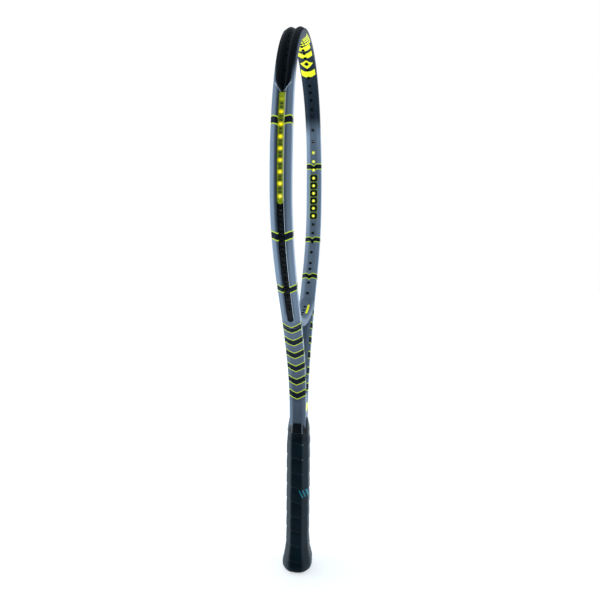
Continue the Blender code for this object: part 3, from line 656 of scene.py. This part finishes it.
def wrap_inset(z, angle):
    """How far the spiral wrap lies under its highest edge: each turn's lower edge overlaps the turn below."""
    turn = (z - WRAP_START) / WRAP_PITCH + angle / (2 * math.pi)
    share = turn - math.floor(turn)
    edge = 0.035
    if share < edge:
        rise = share / edge
        return WRAP_STEP * (1 - math.sqrt(max(0.0, 1 - (1 - rise) ** 2))) if rise > 0.15 else WRAP_STEP * 1.15
    fall = (share - edge) / (1 - edge)
    return WRAP_STEP * (0.10 * fall + 0.90 * fall ** 4)


def make_grip():
    rings = []
    for z in [*np.arange(GRIP_BOTTOM, GRIP_TOP, 0.0006).tolist(), GRIP_TOP]:
        half = soft_flare(z) if 0.006 < z < 0.172 else from_table(z, FLARE)
        rings.append(octagon_ring(half + WIDER_ACROSS_X, half, z, GRIP_POINTS,
                                  lambda a, z=z: wrap_inset(z, a), corner_softness(z)))
    for z in (GRIP_TOP, 0.0450, 0.0190, 0.0085, GRIP_BOTTOM):
        half = from_table(z, FLARE) - 0.0011
        rings.append(octagon_ring(half + WIDER_ACROSS_X, half, z, GRIP_POINTS, softness=corner_softness(z)))
    return settle(mesh_object("wrapped_grip", loft(rings, looped=True)), angle=50)


def make_finishing_tape():
    half = 0.0143
    rings = []
    for z, inset in ((GRIP_TOP - 0.0010, 0.0), (GRIP_TOP + 0.0030, 0.0002), (GRIP_TOP + 0.0033, 0.0006),
                     (GRIP_TOP + 0.0036, 0.0003), (PALLET_TOP, 0.0005), (PALLET_TOP, 0.0009),
                     (GRIP_TOP - 0.0010, 0.0009)):
        rings.append(octagon_ring(half + WIDER_ACROSS_X - inset, half - inset, z))
    return settle(mesh_object("end_tape", loft(rings, looped=True)))


def make_cap():
    """Visible rim and underside of the butt cap, with the seat of its door."""
    rings = []
    for z, half in CAP_RIM:
        rings.append(octagon_ring(half + WIDER_ACROSS_X - 0.0001, half - 0.0001, z,
                                  softness=corner_softness(z)))
    for x, y, z in ((0.0117, 0.0092, 0.0), (0.0115, 0.0090, 0.0004), (0.0113, 0.0088, 0.0022),
                    (0.0093, 0.0069, 0.0022), (0.0091, 0.0067, 0.0085), (0.0150, 0.0130, 0.0085)):
        rings.append(octagon_ring(x, y, z))
    return settle(mesh_object("cap_shell", loft(rings, looped=True)))


def make_door():
    """Door plate with a softened edge and a finger slot, and its plug."""
    slot = ((0.0020, 0.0011, 0.0010), (0.0050, 0.0022, 0.0010), (0.0053, 0.0025, 0.0004))
    plate = ((0.0106, 0.0081, 0.0003), (0.0110, 0.0085, 0.0006), (0.0110, 0.0085, 0.0019))
    plug = ((0.0088, 0.0064, 0.0019), (0.0088, 0.0064, 0.0085), (0.0074, 0.0050, 0.0085),
            (0.0074, 0.0050, 0.0033))
    return settle(mesh_object("door_panel", loft([octagon_ring(*size) for size in slot + plate + plug])))


def make_collar():
    """Ribbed rubber collar, narrower towards the top, with a soft tongue on the front and the back."""
    levels = 10 * COLLAR_RIBS

    def ring(x, y, share):
        z = COLLAR_BOTTOM + share * (COLLAR_TOP - COLLAR_BOTTOM)
        return octagon_ring(x, y, z, softness=11,
                            lift=lambda a: COLLAR_PEAK * abs(math.sin(a)) ** 7 * share ** 2.2)

    rings = []
    for k in range(levels + 1):
        share = k / levels
        rib = 0.5 + 0.5 * math.cos(2 * math.pi * COLLAR_RIBS * share)
        sunk = COLLAR_RIB_DEPTH * rib ** 1.5 * (1 if 0.02 < share < 0.98 else 0.6)
        narrowed = share ** 1.5
        rings.append(ring(0.0165 - 0.0016 * narrowed - sunk, 0.0147 - 0.0024 * narrowed - sunk, share))
    rings += [ring(0.01395, 0.0112, 1.0), ring(0.01395, 0.0112, 0.0)]
    return settle(mesh_object("ribbed_collar", loft(rings, looped=True)), angle=60)


# Material nodes

class Nodes:
    """A small helper that writes a node tree from the coordinates it is given."""

    def __init__(self, tree, coordinates):
        self.tree = tree
        self.position = self.node("ShaderNodeTexCoord").outputs[coordinates]
        self.x, self.y, self.z = self.node("ShaderNodeSeparateXYZ", {0: self.position}).outputs

    def node(self, kind, inputs=(), **settings):
        made = self.tree.nodes.new(kind)
        for key, value in settings.items():
            setattr(made, key, value)
        for socket, value in dict(inputs).items():
            self.set(made.inputs[socket], value)
        return made

    def set(self, socket, value):
        if isinstance(value, bpy.types.NodeSocket):
            self.tree.links.new(value, socket)
        else:
            socket.default_value = (*value, 1.0) if socket.type == "RGBA" else value

    def calc(self, operation, *values):
        return self.node("ShaderNodeMath", dict(enumerate(values)), operation=operation).outputs[0]

    def chain(self, operation, values):
        result = values[0]
        for value in values[1:]:
            result = self.calc(operation, result, value)
        return result

    def plus(self, *values):
        return self.chain("ADD", values)

    def times(self, *values):
        """Product; of masks, where all of them hold."""
        return self.chain("MULTIPLY", values)

    def either(self, *masks):
        return self.chain("MAXIMUM", masks)

    def minus(self, first, second):
        return self.calc("SUBTRACT", first, second)

    def over(self, first, second):
        return self.calc("DIVIDE", first, second)

    def size_of(self, value):
        return self.calc("ABSOLUTE", value)

    def above(self, value, limit):
        return self.calc("GREATER_THAN", value, limit)

    def below(self, value, limit):
        return self.calc("LESS_THAN", value, limit)

    def near(self, value, centre, half):
        return self.below(self.size_of(self.minus(value, centre)), half)

    def all_but(self, mask):
        return self.minus(1.0, mask)

    def oval(self, first, half, second, other_half, power):
        """Below 1 inside a squared oval with these half sizes."""
        return self.plus(self.calc("POWER", self.over(first, half), power),
                         self.calc("POWER", self.over(second, other_half), power))

    def ramp(self, value, start, end, low=0.0, high=1.0, kind="SMOOTHSTEP"):
        """Low up to start, high from end on, smooth between."""
        return self.node("ShaderNodeMapRange", {"Value": value, "From Min": start, "From Max": end,
                                                "To Min": low, "To Max": high},
                         interpolation_type=kind).outputs["Result"]

    def spread(self, value, low, high):
        """A 0 to 1 value, evenly stretched over low to high."""
        return self.ramp(value, 0.0, 1.0, low, high, "LINEAR")

    def mix(self, factor, first, second):
        return self.node("ShaderNodeMix", {0: factor, 6: first, 7: second}, data_type="RGBA").outputs[2]

    def attribute(self, name):
        return self.node("ShaderNodeAttribute", attribute_name=name).outputs["Fac"]

    def noise(self, scale, detail=2.0, roughness=0.5, position=None):
        return self.node("ShaderNodeTexNoise", {"Vector": position or self.position, "Scale": scale,
                                                "Detail": detail, "Roughness": roughness}).outputs["Fac"]

    def cells(self, scale):
        made = self.node("ShaderNodeTexVoronoi", {"Vector": self.position, "Scale": scale})
        return made.outputs["Distance"]

    def corner_angle(self):
        """Angle round the handle from the nearest side flat."""
        return self.calc("ARCTAN2", self.size_of(self.y), self.size_of(self.x))


class Paint(Nodes):
    """A material in object coordinates, which are the row frame."""

    def __init__(self, name):
        self.material = bpy.data.materials.new(name)
        self.material.use_nodes = True
        super().__init__(self.material.node_tree, "Object")
        self.shader = self.tree.nodes["Principled BSDF"]

    def bump(self, height, strength, distance):
        made = self.node("ShaderNodeBump", {"Height": height, "Strength": strength, "Distance": distance})
        self.set(self.shader.inputs["Normal"], made.outputs["Normal"])

    def finish(self, **values):
        for name, value in values.items():
            self.set(self.shader.inputs[name.replace("_", " ").title().replace("Ior", "IOR")], value)
        return self.material


SLATE = (0.240, 0.310, 0.400)
SLATE_DEEP = (0.175, 0.230, 0.310)
SLATE_FLAKE = (0.320, 0.420, 0.520)
LOW_SLATE = (0.070, 0.085, 0.115)
RIM_SHADE = (0.030, 0.045, 0.070)
# Colour of the painted highlights on the groove's front lip and along the bumper guard's tips
EDGE_HIGHLIGHT = (0.80, 0.88, 0.92)
HEAD_BLACK = (0.010, 0.024, 0.040)
NAVY = (0.004, 0.012, 0.030)
PINSTRIPE = (0.040, 0.048, 0.095)
LINE_GREEN = (0.52, 0.66, 0.030)
BADGE_EDGE = (0.30, 0.42, 0.040)
BRIGHT_YELLOW = (0.83, 0.86, 0.005)
UNLIT = (0.0, 0.0, 0.0)
# Strength of the painted glow that brightens the yellow and green marks
YELLOW_GLOW = 0.45

# Bands and chevrons: places along the centre line, half widths and how far each dips in the middle of a face
MAIN_BANDS = (0.1918, 0.3037, 0.3656)
MAIN_BAND_HALF = 0.0038
MAIN_DIP = 0.0030
CHEVRONS = 6
CHEVRON_FIRST = 0.4237
CHEVRON_PITCH = 0.0208
CHEVRON_HALF = 0.0045
CHEVRON_DIP = 0.0044
OUTER_DIP_HALF = 0.0088
INNER_DIP_HALF = 0.0042
LINE_HALF = 0.00060
PINSTRIPE_PITCH = 0.0019

# Marks inside the top of the head, as places and half lengths along it
HEAD_BARS = ((0.0015, 0.0062), (0.0195, 0.0052), (0.0550, 0.0048))
LOZENGE_PLACE = 0.0372
BLOCK_FIRST = -0.0105
BLOCK_PITCH = 0.0084
BLOCK_HALF = 0.0025
BLOCK_ROWS = ((-0.0036, 0.0026, 3), (-0.0106, -0.0046, 4))
BADGED_HOLES = SIDE_HOLES[3:]

# Mark on the grip: its height, and its bars as angles round it
GRIP_MARK_HEIGHT = 0.1085
GRIP_BARS = ((0.54, 0.14), (0.92, 0.055), (1.20, 0.055))
TEAL = (0.020, 0.260, 0.340)


def slate_lacquer(p, clouds):
    """Slate lacquer with fine metal flakes, deeper in soft clouds and faintly uneven."""
    flakes = p.noise(2600.0, 1.0)
    colour = p.mix(p.times(p.ramp(clouds, 0.35, 0.70), 0.35), SLATE, SLATE_DEEP)
    p.bump(p.noise(900.0), 0.06, 0.0004)
    return p.mix(p.times(p.ramp(flakes, 0.52, 0.75), 0.35), colour, SLATE_FLAKE)


def groove_edges(p, slate, across, outside):
    """Painted shade beside the groove, and painted highlights on its front lip and along the bumper guard's
    tips.
    """
    shade = p.times(p.ramp(across, 0.0068, 0.0038), outside, p.ramp(p.z, GROOVE_END, GROOVE_END + 0.010))
    slate = p.mix(p.times(shade, 0.78), slate, RIM_SHADE)
    # Painted highlight along the groove's front lip, and painted highlights along the recess rims at the
    # bumper guard's tips
    lip_highlights = p.times(p.near(p.y, -GROOVE_HALF_WIDTH - 0.0004, 0.0003), outside,
                   p.ramp(p.z, GROOVE_END, GROOVE_END + 0.004))
    recess_side = p.plus(p.times(p.minus(p.z, BUMPER_TIP), 0.66), 0.0007)
    tip_highlights = p.times(p.near(across, recess_side, 0.0003), p.near(p.z, 0.5855, 0.0060), outside)
    return p.mix(p.either(p.times(lip_highlights, 0.8), tip_highlights), slate, EDGE_HIGHLIGHT)


def bands(p, run, out, across, outside):
    """Masks of the dark bands, of their bright edges and of the pinstripes between the chevrons."""
    outer_dip = p.either(p.all_but(p.over(across, OUTER_DIP_HALF)), 0.0)
    inner_dip = p.either(p.all_but(p.over(across, INNER_DIP_HALF)), 0.0)
    dip = p.plus(p.times(outside, outer_dip, MAIN_DIP), p.times(p.all_but(outside), inner_dip, MAIN_DIP))
    main_place = p.minus(run, dip)
    dark, lines = [], []
    for centre in MAIN_BANDS:
        distance = p.size_of(p.minus(main_place, centre))
        dark.append(p.below(distance, MAIN_BAND_HALF))
        lines.append(p.near(distance, MAIN_BAND_HALF, LINE_HALF))

    # The chevrons cover the outer side, and the front and back faces up to the arm's inner edge
    chevron_place = p.minus(run, p.times(outer_dip, CHEVRON_DIP))
    order = p.over(p.minus(chevron_place, CHEVRON_FIRST), CHEVRON_PITCH)
    covered = p.either(p.above(out, -0.0030), p.above(across, 0.0085))
    in_row = p.times(p.above(order, -0.5), p.below(order, CHEVRONS - 0.5), covered)
    distance = p.times(p.size_of(p.minus(order, p.calc("ROUND", order))), CHEVRON_PITCH)
    dark.append(p.times(p.below(distance, CHEVRON_HALF), in_row))
    lines.append(p.times(p.near(distance, CHEVRON_HALF, LINE_HALF), in_row))
    stripes = p.near(p.calc("FRACT", p.over(chevron_place, PINSTRIPE_PITCH)), 0.5, 0.20)
    return p.either(*dark), p.either(*lines), p.times(stripes, in_row, p.below(across, 0.0098))


def head_marks(p, side_run, across, inside):
    """Plain geometric marks inside the top of the head: three bars, a lozenge and two rows of blocks."""
    curved = p.plus(side_run, p.times(p.calc("POWER", across, 2.0), 22.0))
    marks = [p.near(curved, centre, half) for centre, half in HEAD_BARS]
    lozenge = p.oval(across, 0.0084, p.size_of(p.minus(side_run, LOZENGE_PLACE)), 0.0082, 1.0)
    marks.append(p.times(p.below(lozenge, 1.0), p.above(lozenge, 0.42)))
    rows = []
    for low, high, count in BLOCK_ROWS:
        blocks = [p.near(side_run, BLOCK_FIRST - BLOCK_PITCH * k, BLOCK_HALF) for k in range(count)]
        rows.append(p.times(p.above(p.y, low), p.below(p.y, high), p.either(*blocks)))
    return p.times(p.either(p.times(p.either(*marks), p.below(across, 0.0092)), *rows), inside)


def hole_badges(p, colour, run, across, inside):
    """Dark squared ovals with a thin bright edge round the side grommets, one for each hole."""
    ovals = [p.oval(across, 0.0054, p.minus(run, hole), 0.0049, 4.0) for hole in BADGED_HOLES]
    edges = p.either(*[p.times(p.above(oval, 1.0), p.below(oval, 1.9)) for oval in ovals])
    middles = p.either(*[p.below(oval, 1.0) for oval in ovals])
    colour = p.mix(p.times(edges, inside), colour, BADGE_EDGE)
    return p.mix(p.times(middles, inside), colour, NAVY)


def frame_paint():
    """Slate lacquer, darker low down and black round the head, with its bands and marks."""
    p = Paint("slate_lacquer")
    run, side_run, out = p.attribute("run"), p.attribute("side_run"), p.attribute("out")
    across = p.size_of(p.y)
    outside = p.above(out, -0.0005)
    inside = p.all_but(outside)
    clouds = p.noise(28.0, 3.0)
    low = p.ramp(p.z, 0.400, 0.300)
    head = p.ramp(p.plus(p.z, p.times(p.minus(clouds, 0.5), 0.010)), 0.590, 0.618)
    dark, lines, stripes = bands(p, run, out, across, outside)
    marks = head_marks(p, side_run, across, inside)
    spot = p.oval(p.x, 0.0080, p.minus(p.z, 0.2210), 0.0058, 2.0)
    spot = p.times(p.below(spot, 1.0), p.above(across, 0.0088))

    slate = groove_edges(p, slate_lacquer(p, clouds), across, outside)
    colour = p.mix(head, p.mix(p.times(low, 0.50), slate, LOW_SLATE), HEAD_BLACK)
    colour = p.mix(p.times(stripes, 0.60), colour, PINSTRIPE)
    colour = p.mix(lines, p.mix(dark, colour, NAVY), LINE_GREEN)
    colour = hole_badges(p, p.mix(marks, colour, BRIGHT_YELLOW), run, across, inside)
    colour = p.mix(spot, colour, BRIGHT_YELLOW)

    rough = p.plus(p.spread(p.noise(160.0, 4.0, 0.7), 0.30, 0.44), p.times(p.either(head, dark), 0.22))
    # The lines, marks and spot are brightened by a painted glow through the emission
    bright = p.either(lines, marks, spot)
    bare = p.all_but(p.either(dark, bright))
    blacked = p.either(dark, p.times(head, p.all_but(marks)))
    metal = p.either(p.times(bare, 0.302), p.times(blacked, 0.60))
    return p.finish(base_color=colour, roughness=rough, metallic=p.times(metal, p.all_but(bright)),
                    specular_ior_level=0.35, coat_weight=0.05, coat_roughness=0.25,
                    emission_color=p.mix(bright, UNLIT, colour), emission_strength=YELLOW_GLOW)


def bridge_paint():
    """The same lacquer, deeper and duller, with a plain yellow bar on top."""
    p = Paint("slate_lacquer_bridge")
    clouds = p.noise(28.0, 3.0)
    slate = p.mix(0.35, slate_lacquer(p, clouds), LOW_SLATE)
    bar = p.times(p.near(p.x, 0.0345, 0.0125), p.near(p.y, -0.0047, 0.0013), p.above(p.z, 0.3400))
    colour = p.mix(bar, slate, BRIGHT_YELLOW)
    # The yellow bar is brightened by a painted glow through the emission
    return p.finish(base_color=colour, roughness=p.spread(clouds, 0.50, 0.62), metallic=0.10,
                    specular_ior_level=0.20, emission_color=p.mix(bar, UNLIT, colour),
                    emission_strength=YELLOW_GLOW)


def moulded(name, colour, rough, grain=1500.0, strength=0.25, level=0.35, painted_highlight=None):
    """Moulded plastic or rubber with a fine grain, a slightly uneven tone and, if asked, a painted highlight.
    """
    p = Paint(name)
    tone = p.noise(60.0, 3.0)
    shade = p.mix(p.ramp(tone, 0.3, 0.8), colour, tuple(1.7 * c for c in colour))
    # A painted highlight, where one is given, is mixed over the tone
    if painted_highlight:
        mask, pale = painted_highlight(p)
        shade = p.mix(mask, shade, pale)
    p.bump(p.noise(grain), strength, 0.0002)
    return p.finish(base_color=shade, roughness=p.spread(tone, rough - 0.06, rough + 0.08),
                    specular_ior_level=level)


def channel_edge_highlight(p):
    """Painted highlight along the edge of the bumper guard's channel."""
    return p.near(p.y, -0.0023, 0.0003), (0.034, 0.056, 0.072)


def rib_corner_highlights(p):
    """Painted highlights on the collar's ribs where they turn the corners next to the side flats."""
    rib_pitch = (COLLAR_TOP - COLLAR_BOTTOM) / COLLAR_RIBS
    crest = p.near(p.calc("FRACT", p.over(p.minus(p.z, COLLAR_BOTTOM), rib_pitch)), 0.5, 0.25)
    return p.times(crest, p.near(p.corner_angle(), 0.44, 0.05), 0.80), (0.50, 0.55, 0.58)


def yellow_strip():
    """Translucent yellow strip with a painted glow, strongest at its holes and its barrels' inner ends,
    painted highlights along its edges and painted shade in its pockets.
    """
    p = Paint("translucent_yellow")
    glow = p.times(p.attribute("glow"), p.ramp(p.z, 0.576, 0.556, 0.35, 1.0, "LINEAR"))
    tone = p.noise(240.0)
    colour = p.mix(p.ramp(tone, 0.3, 0.7), (0.230, 0.310, 0.003), (0.330, 0.420, 0.005))
    # Painted glow at the holes, painted shade in the pockets, painted highlights along both edges, strongest
    # on the front edge, and a painted glow on the barrels' inner ends
    for mask, light_and_shade_tint in ((p.ramp(glow, 0.15, 0.85), (0.92, 0.80, 0.008)),
                       (p.times(p.attribute("pocket"), 0.85), (0.030, 0.042, 0.003)),
                       (p.ramp(p.y, -0.0022, -0.0030), (0.62, 0.68, 0.16)),
                       (p.ramp(p.y, 0.0025, 0.0031), (0.30, 0.40, 0.02)),
                       (p.below(p.attribute("out"), -0.004), (0.80, 0.92, 0.006))):
        colour = p.mix(mask, colour, light_and_shade_tint)
    p.bump(p.noise(1200.0), 0.15, 0.0002)
    # The emission is a painted glow over the whole strip
    return p.finish(base_color=colour, roughness=p.spread(tone, 0.28, 0.42), subsurface_weight=0.25,
                    subsurface_scale=0.002, emission_color=colour, emission_strength=0.36)


def grip_leather():
    """Spiral-wrapped leather, dark in its seams, with painted highlights on the seams' edges high on the
    front corner.
    """
    p = Paint("tacky_wrap")
    turn = p.plus(p.over(p.minus(p.z, WRAP_START), WRAP_PITCH),
                  p.over(p.calc("ARCTAN2", p.y, p.x), 2 * math.pi))
    share = p.calc("FRACT", p.plus(turn, 10.0))
    seam = p.near(share, 0.012, 0.020)
    # Painted glints on the seams' edges at the front corner
    lip = p.times(p.near(share, 0.030, 0.030), p.near(p.corner_angle(), 0.46, 0.07), p.below(p.y, 0.0),
                  p.ramp(p.z, 0.115, 0.165))
    tone = p.noise(45.0, 4.0, 0.6)
    shade = p.mix(p.ramp(tone, 0.3, 0.75), (0.0006, 0.0090, 0.0150), (0.0012, 0.0160, 0.0270))
    shade = p.mix(p.times(seam, 0.75), shade, (0.002, 0.003, 0.004))
    shade = p.mix(p.times(lip, 0.80), shade, (0.26, 0.31, 0.34))

    # One wide and two narrow slanted bars as a plain mark on the front corner of the handle
    height = p.minus(p.z, GRIP_MARK_HEIGHT)
    slant = p.plus(p.calc("ARCTAN2", p.times(p.x, -1.0), p.times(p.y, -1.0)), p.times(height, -28.0))
    bars = p.either(*[p.near(slant, centre, half) for centre, half in GRIP_BARS])
    bars = p.times(bars, p.near(height, 0.0, 0.0050), p.below(p.y, 0.004))
    shade = p.mix(bars, shade, TEAL)

    p.bump(p.cells(1150.0), 0.22, 0.0003)
    rough = p.plus(p.spread(tone, 0.34, 0.48), p.times(seam, 0.30))
    return p.finish(base_color=shade, roughness=rough, specular_ior_level=0.20)


def foam():
    p = Paint("pale_foam")
    cells = p.cells(900.0)
    p.bump(cells, 0.4, 0.0003)
    return p.finish(base_color=p.mix(p.ramp(cells, 0.1, 0.6), (0.42, 0.39, 0.30), (0.60, 0.57, 0.46)),
                    roughness=0.9)


def brushed_steel():
    p = Paint("plated_wire")
    stretched = p.node("ShaderNodeMapping", {"Vector": p.position, "Scale": (1.0, 1.0, 40.0)}).outputs[0]
    lines = p.noise(300.0, 3.0, position=stretched)
    p.bump(lines, 0.1, 0.0001)
    return p.finish(base_color=p.mix(lines, (0.50, 0.50, 0.52), (0.72, 0.72, 0.74)),
                    roughness=p.spread(lines, 0.22, 0.42), metallic=1.0)


# Scene

def fit(piece, material, node, body="racket"):
    """Let a finished piece take the place of a CAD node."""
    piece.data.materials.clear()
    piece.data.materials.append(material)
    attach(piece, body)
    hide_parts(node)


def repaint(material, *nodes):
    """Give carried-over CAD nodes their finished material."""
    for node in nodes:
        for place_in_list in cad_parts[node].material_slots:
            place_in_list.material = material


def make_pieces():
    black = moulded("matte_nylon", (0.0010, 0.0040, 0.0062), 0.50, level=0.09, painted_highlight=channel_edge_highlight)
    lower = moulded("matte_nylon_strip", (0.0016, 0.0036, 0.0052), 0.50, level=0.16)
    rubber = moulded("collar_rubber", (0.0006, 0.0055, 0.0105), 0.20, 900.0, 0.10, 0.50, rib_corner_highlights)
    plastic = moulded("cap_plastic", (0.005, 0.007, 0.008), 0.48, level=0.3)
    tape = moulded("finishing_film", (0.0006, 0.0080, 0.0135), 0.42, 700.0, 0.2, 0.20)
    yellow, pale, steel = yellow_strip(), foam(), brushed_steel()
    fit(make_frame(), frame_paint(), "frame")
    fit(make_bridge(), bridge_paint(), "bridge")
    fit(make_bumper(), black, "bumper_guard")
    top = run_at(BUMPER_TIP) + 0.0003
    middle = run_at(STRIP_BREAK)
    bottom = run_at(GROOVE_END + 0.0008)
    for side in ("left", "right"):
        strip = make_strip("side_strip_" + side, top, middle, SIDE_HOLES, WIDE_BARREL_RADIUS)
        fit(strip, yellow, "side_grommets_" + side)
        strip = make_strip("lower_strip_" + side, middle + 0.0003, bottom, LOWER_HOLES, BARREL_RADIUS)
        fit(strip, lower, "lower_grommets_" + side)
    fit(make_throat_strip(), lower, "throat_grommets")
    fit(make_grip(), grip_leather(), "grip_tape")
    fit(make_finishing_tape(), tape, "finishing_tape")
    fit(make_cap(), plastic, "butt_cap")
    fit(make_door(), plastic, "butt_door", "door")
    fit(make_collar(), rubber, "collar", "collar")
    repaint(pale, "pallet_front", "pallet_back", "tube_plug_left", "tube_plug_right")
    repaint(steel, "staple_1", "staple_2", "staple_3", "staple_4", "grip_tack")


def make_camera():
    """Camera about 0.42 m above the butt end, close to the plane of the strings, looking slightly down."""
    distance, height = 0.59545, 0.42077
    azimuth, pitch, roll = (math.radians(angle) for angle in (9.284, 5.601, 0.550))
    ahead = Vector((math.cos(azimuth), math.sin(azimuth), 0.0))
    level = Vector((math.sin(azimuth), -math.cos(azimuth), 0.0))
    forward = math.cos(pitch) * ahead - math.sin(pitch) * Vector((0.0, 0.0, 1.0))
    upward = level.cross(forward)
    right = math.cos(roll) * level + math.sin(roll) * upward
    up = math.cos(roll) * upward - math.sin(roll) * level
    data = bpy.data.cameras.new("view")
    data.sensor_width = 36.0
    data.lens = 27.797
    data.clip_start = 0.02
    camera = bpy.data.objects.new("view", data)
    turn = Matrix((right, up, -forward)).transposed().to_4x4()
    camera.matrix_world = Matrix.Translation(Vector((0.0, 0.0, height)) - distance * ahead) @ turn
    bpy.context.scene.collection.objects.link(camera)
    bpy.context.scene.camera = camera


def make_floor():
    """Plain pale floor that sends no light of its own back onto the racket."""
    shape = bmesh.new()
    bmesh.ops.create_circle(shape, cap_ends=True, radius=6.0, segments=64)
    floor = mesh_object("floor", shape)
    p = Paint("pale_floor")
    tone = p.mix(p.noise(3.0), (0.86, 0.86, 0.86), (0.90, 0.90, 0.90))
    floor.data.materials.append(p.finish(base_color=tone, roughness=0.9, emission_color=(1.0, 1.0, 1.0),
                                         emission_strength=0.55))
    floor.location.z = -0.0002
    floor.visible_diffuse = False
    floor.visible_glossy = False


def make_light():
    """White studio: soft light from the far end and both sides, strongest at +Y, little from the camera."""
    scene = bpy.context.scene
    scene.view_settings.view_transform = "Standard"
    scene.world = bpy.data.worlds.new("studio")
    scene.world.use_nodes = True
    world = Nodes(scene.world.node_tree, "Generated")
    light = world.tree.nodes["Background"]
    world.set(light.inputs["Color"], (0.80, 0.93, 1.05))
    world.set(light.inputs["Strength"], world.times(
        world.ramp(world.x, -0.90, -0.35, 0.05, 1.0), world.ramp(world.y, -1.0, 1.0, 1.6, 2.3),
        world.ramp(world.z, -0.6, 0.0, 0.65, 1.0), world.ramp(world.z, 0.1, 0.9, 1.0, 0.2)))
    backdrop = world.node("ShaderNodeBackground", {"Color": (1.0, 1.0, 1.0)})
    seen = world.node("ShaderNodeLightPath").outputs["Is Camera Ray"]
    mixed = world.node("ShaderNodeMixShader", {0: seen, 1: light.outputs[0], 2: backdrop.outputs[0]})
    world.set(world.tree.nodes["World Output"].inputs["Surface"], mixed.outputs[0])

    data = bpy.data.lights.new("soft_box_back", "AREA")
    data.shape = "RECTANGLE"
    data.size, data.size_y = 0.5, 1.4
    data.energy = 3.0
    soft_box = bpy.data.objects.new("soft_box_back", data)
    soft_box.location = (0.10, 1.40, 0.50)
    soft_box.rotation_mode = "QUATERNION"
    soft_box.rotation_quaternion = (Vector((0.0, 0.0, 0.40)) - soft_box.location).to_track_quat("-Z", "Y")
    scene.collection.objects.link(soft_box)


make_camera()
make_pieces()
make_floor()
make_light()
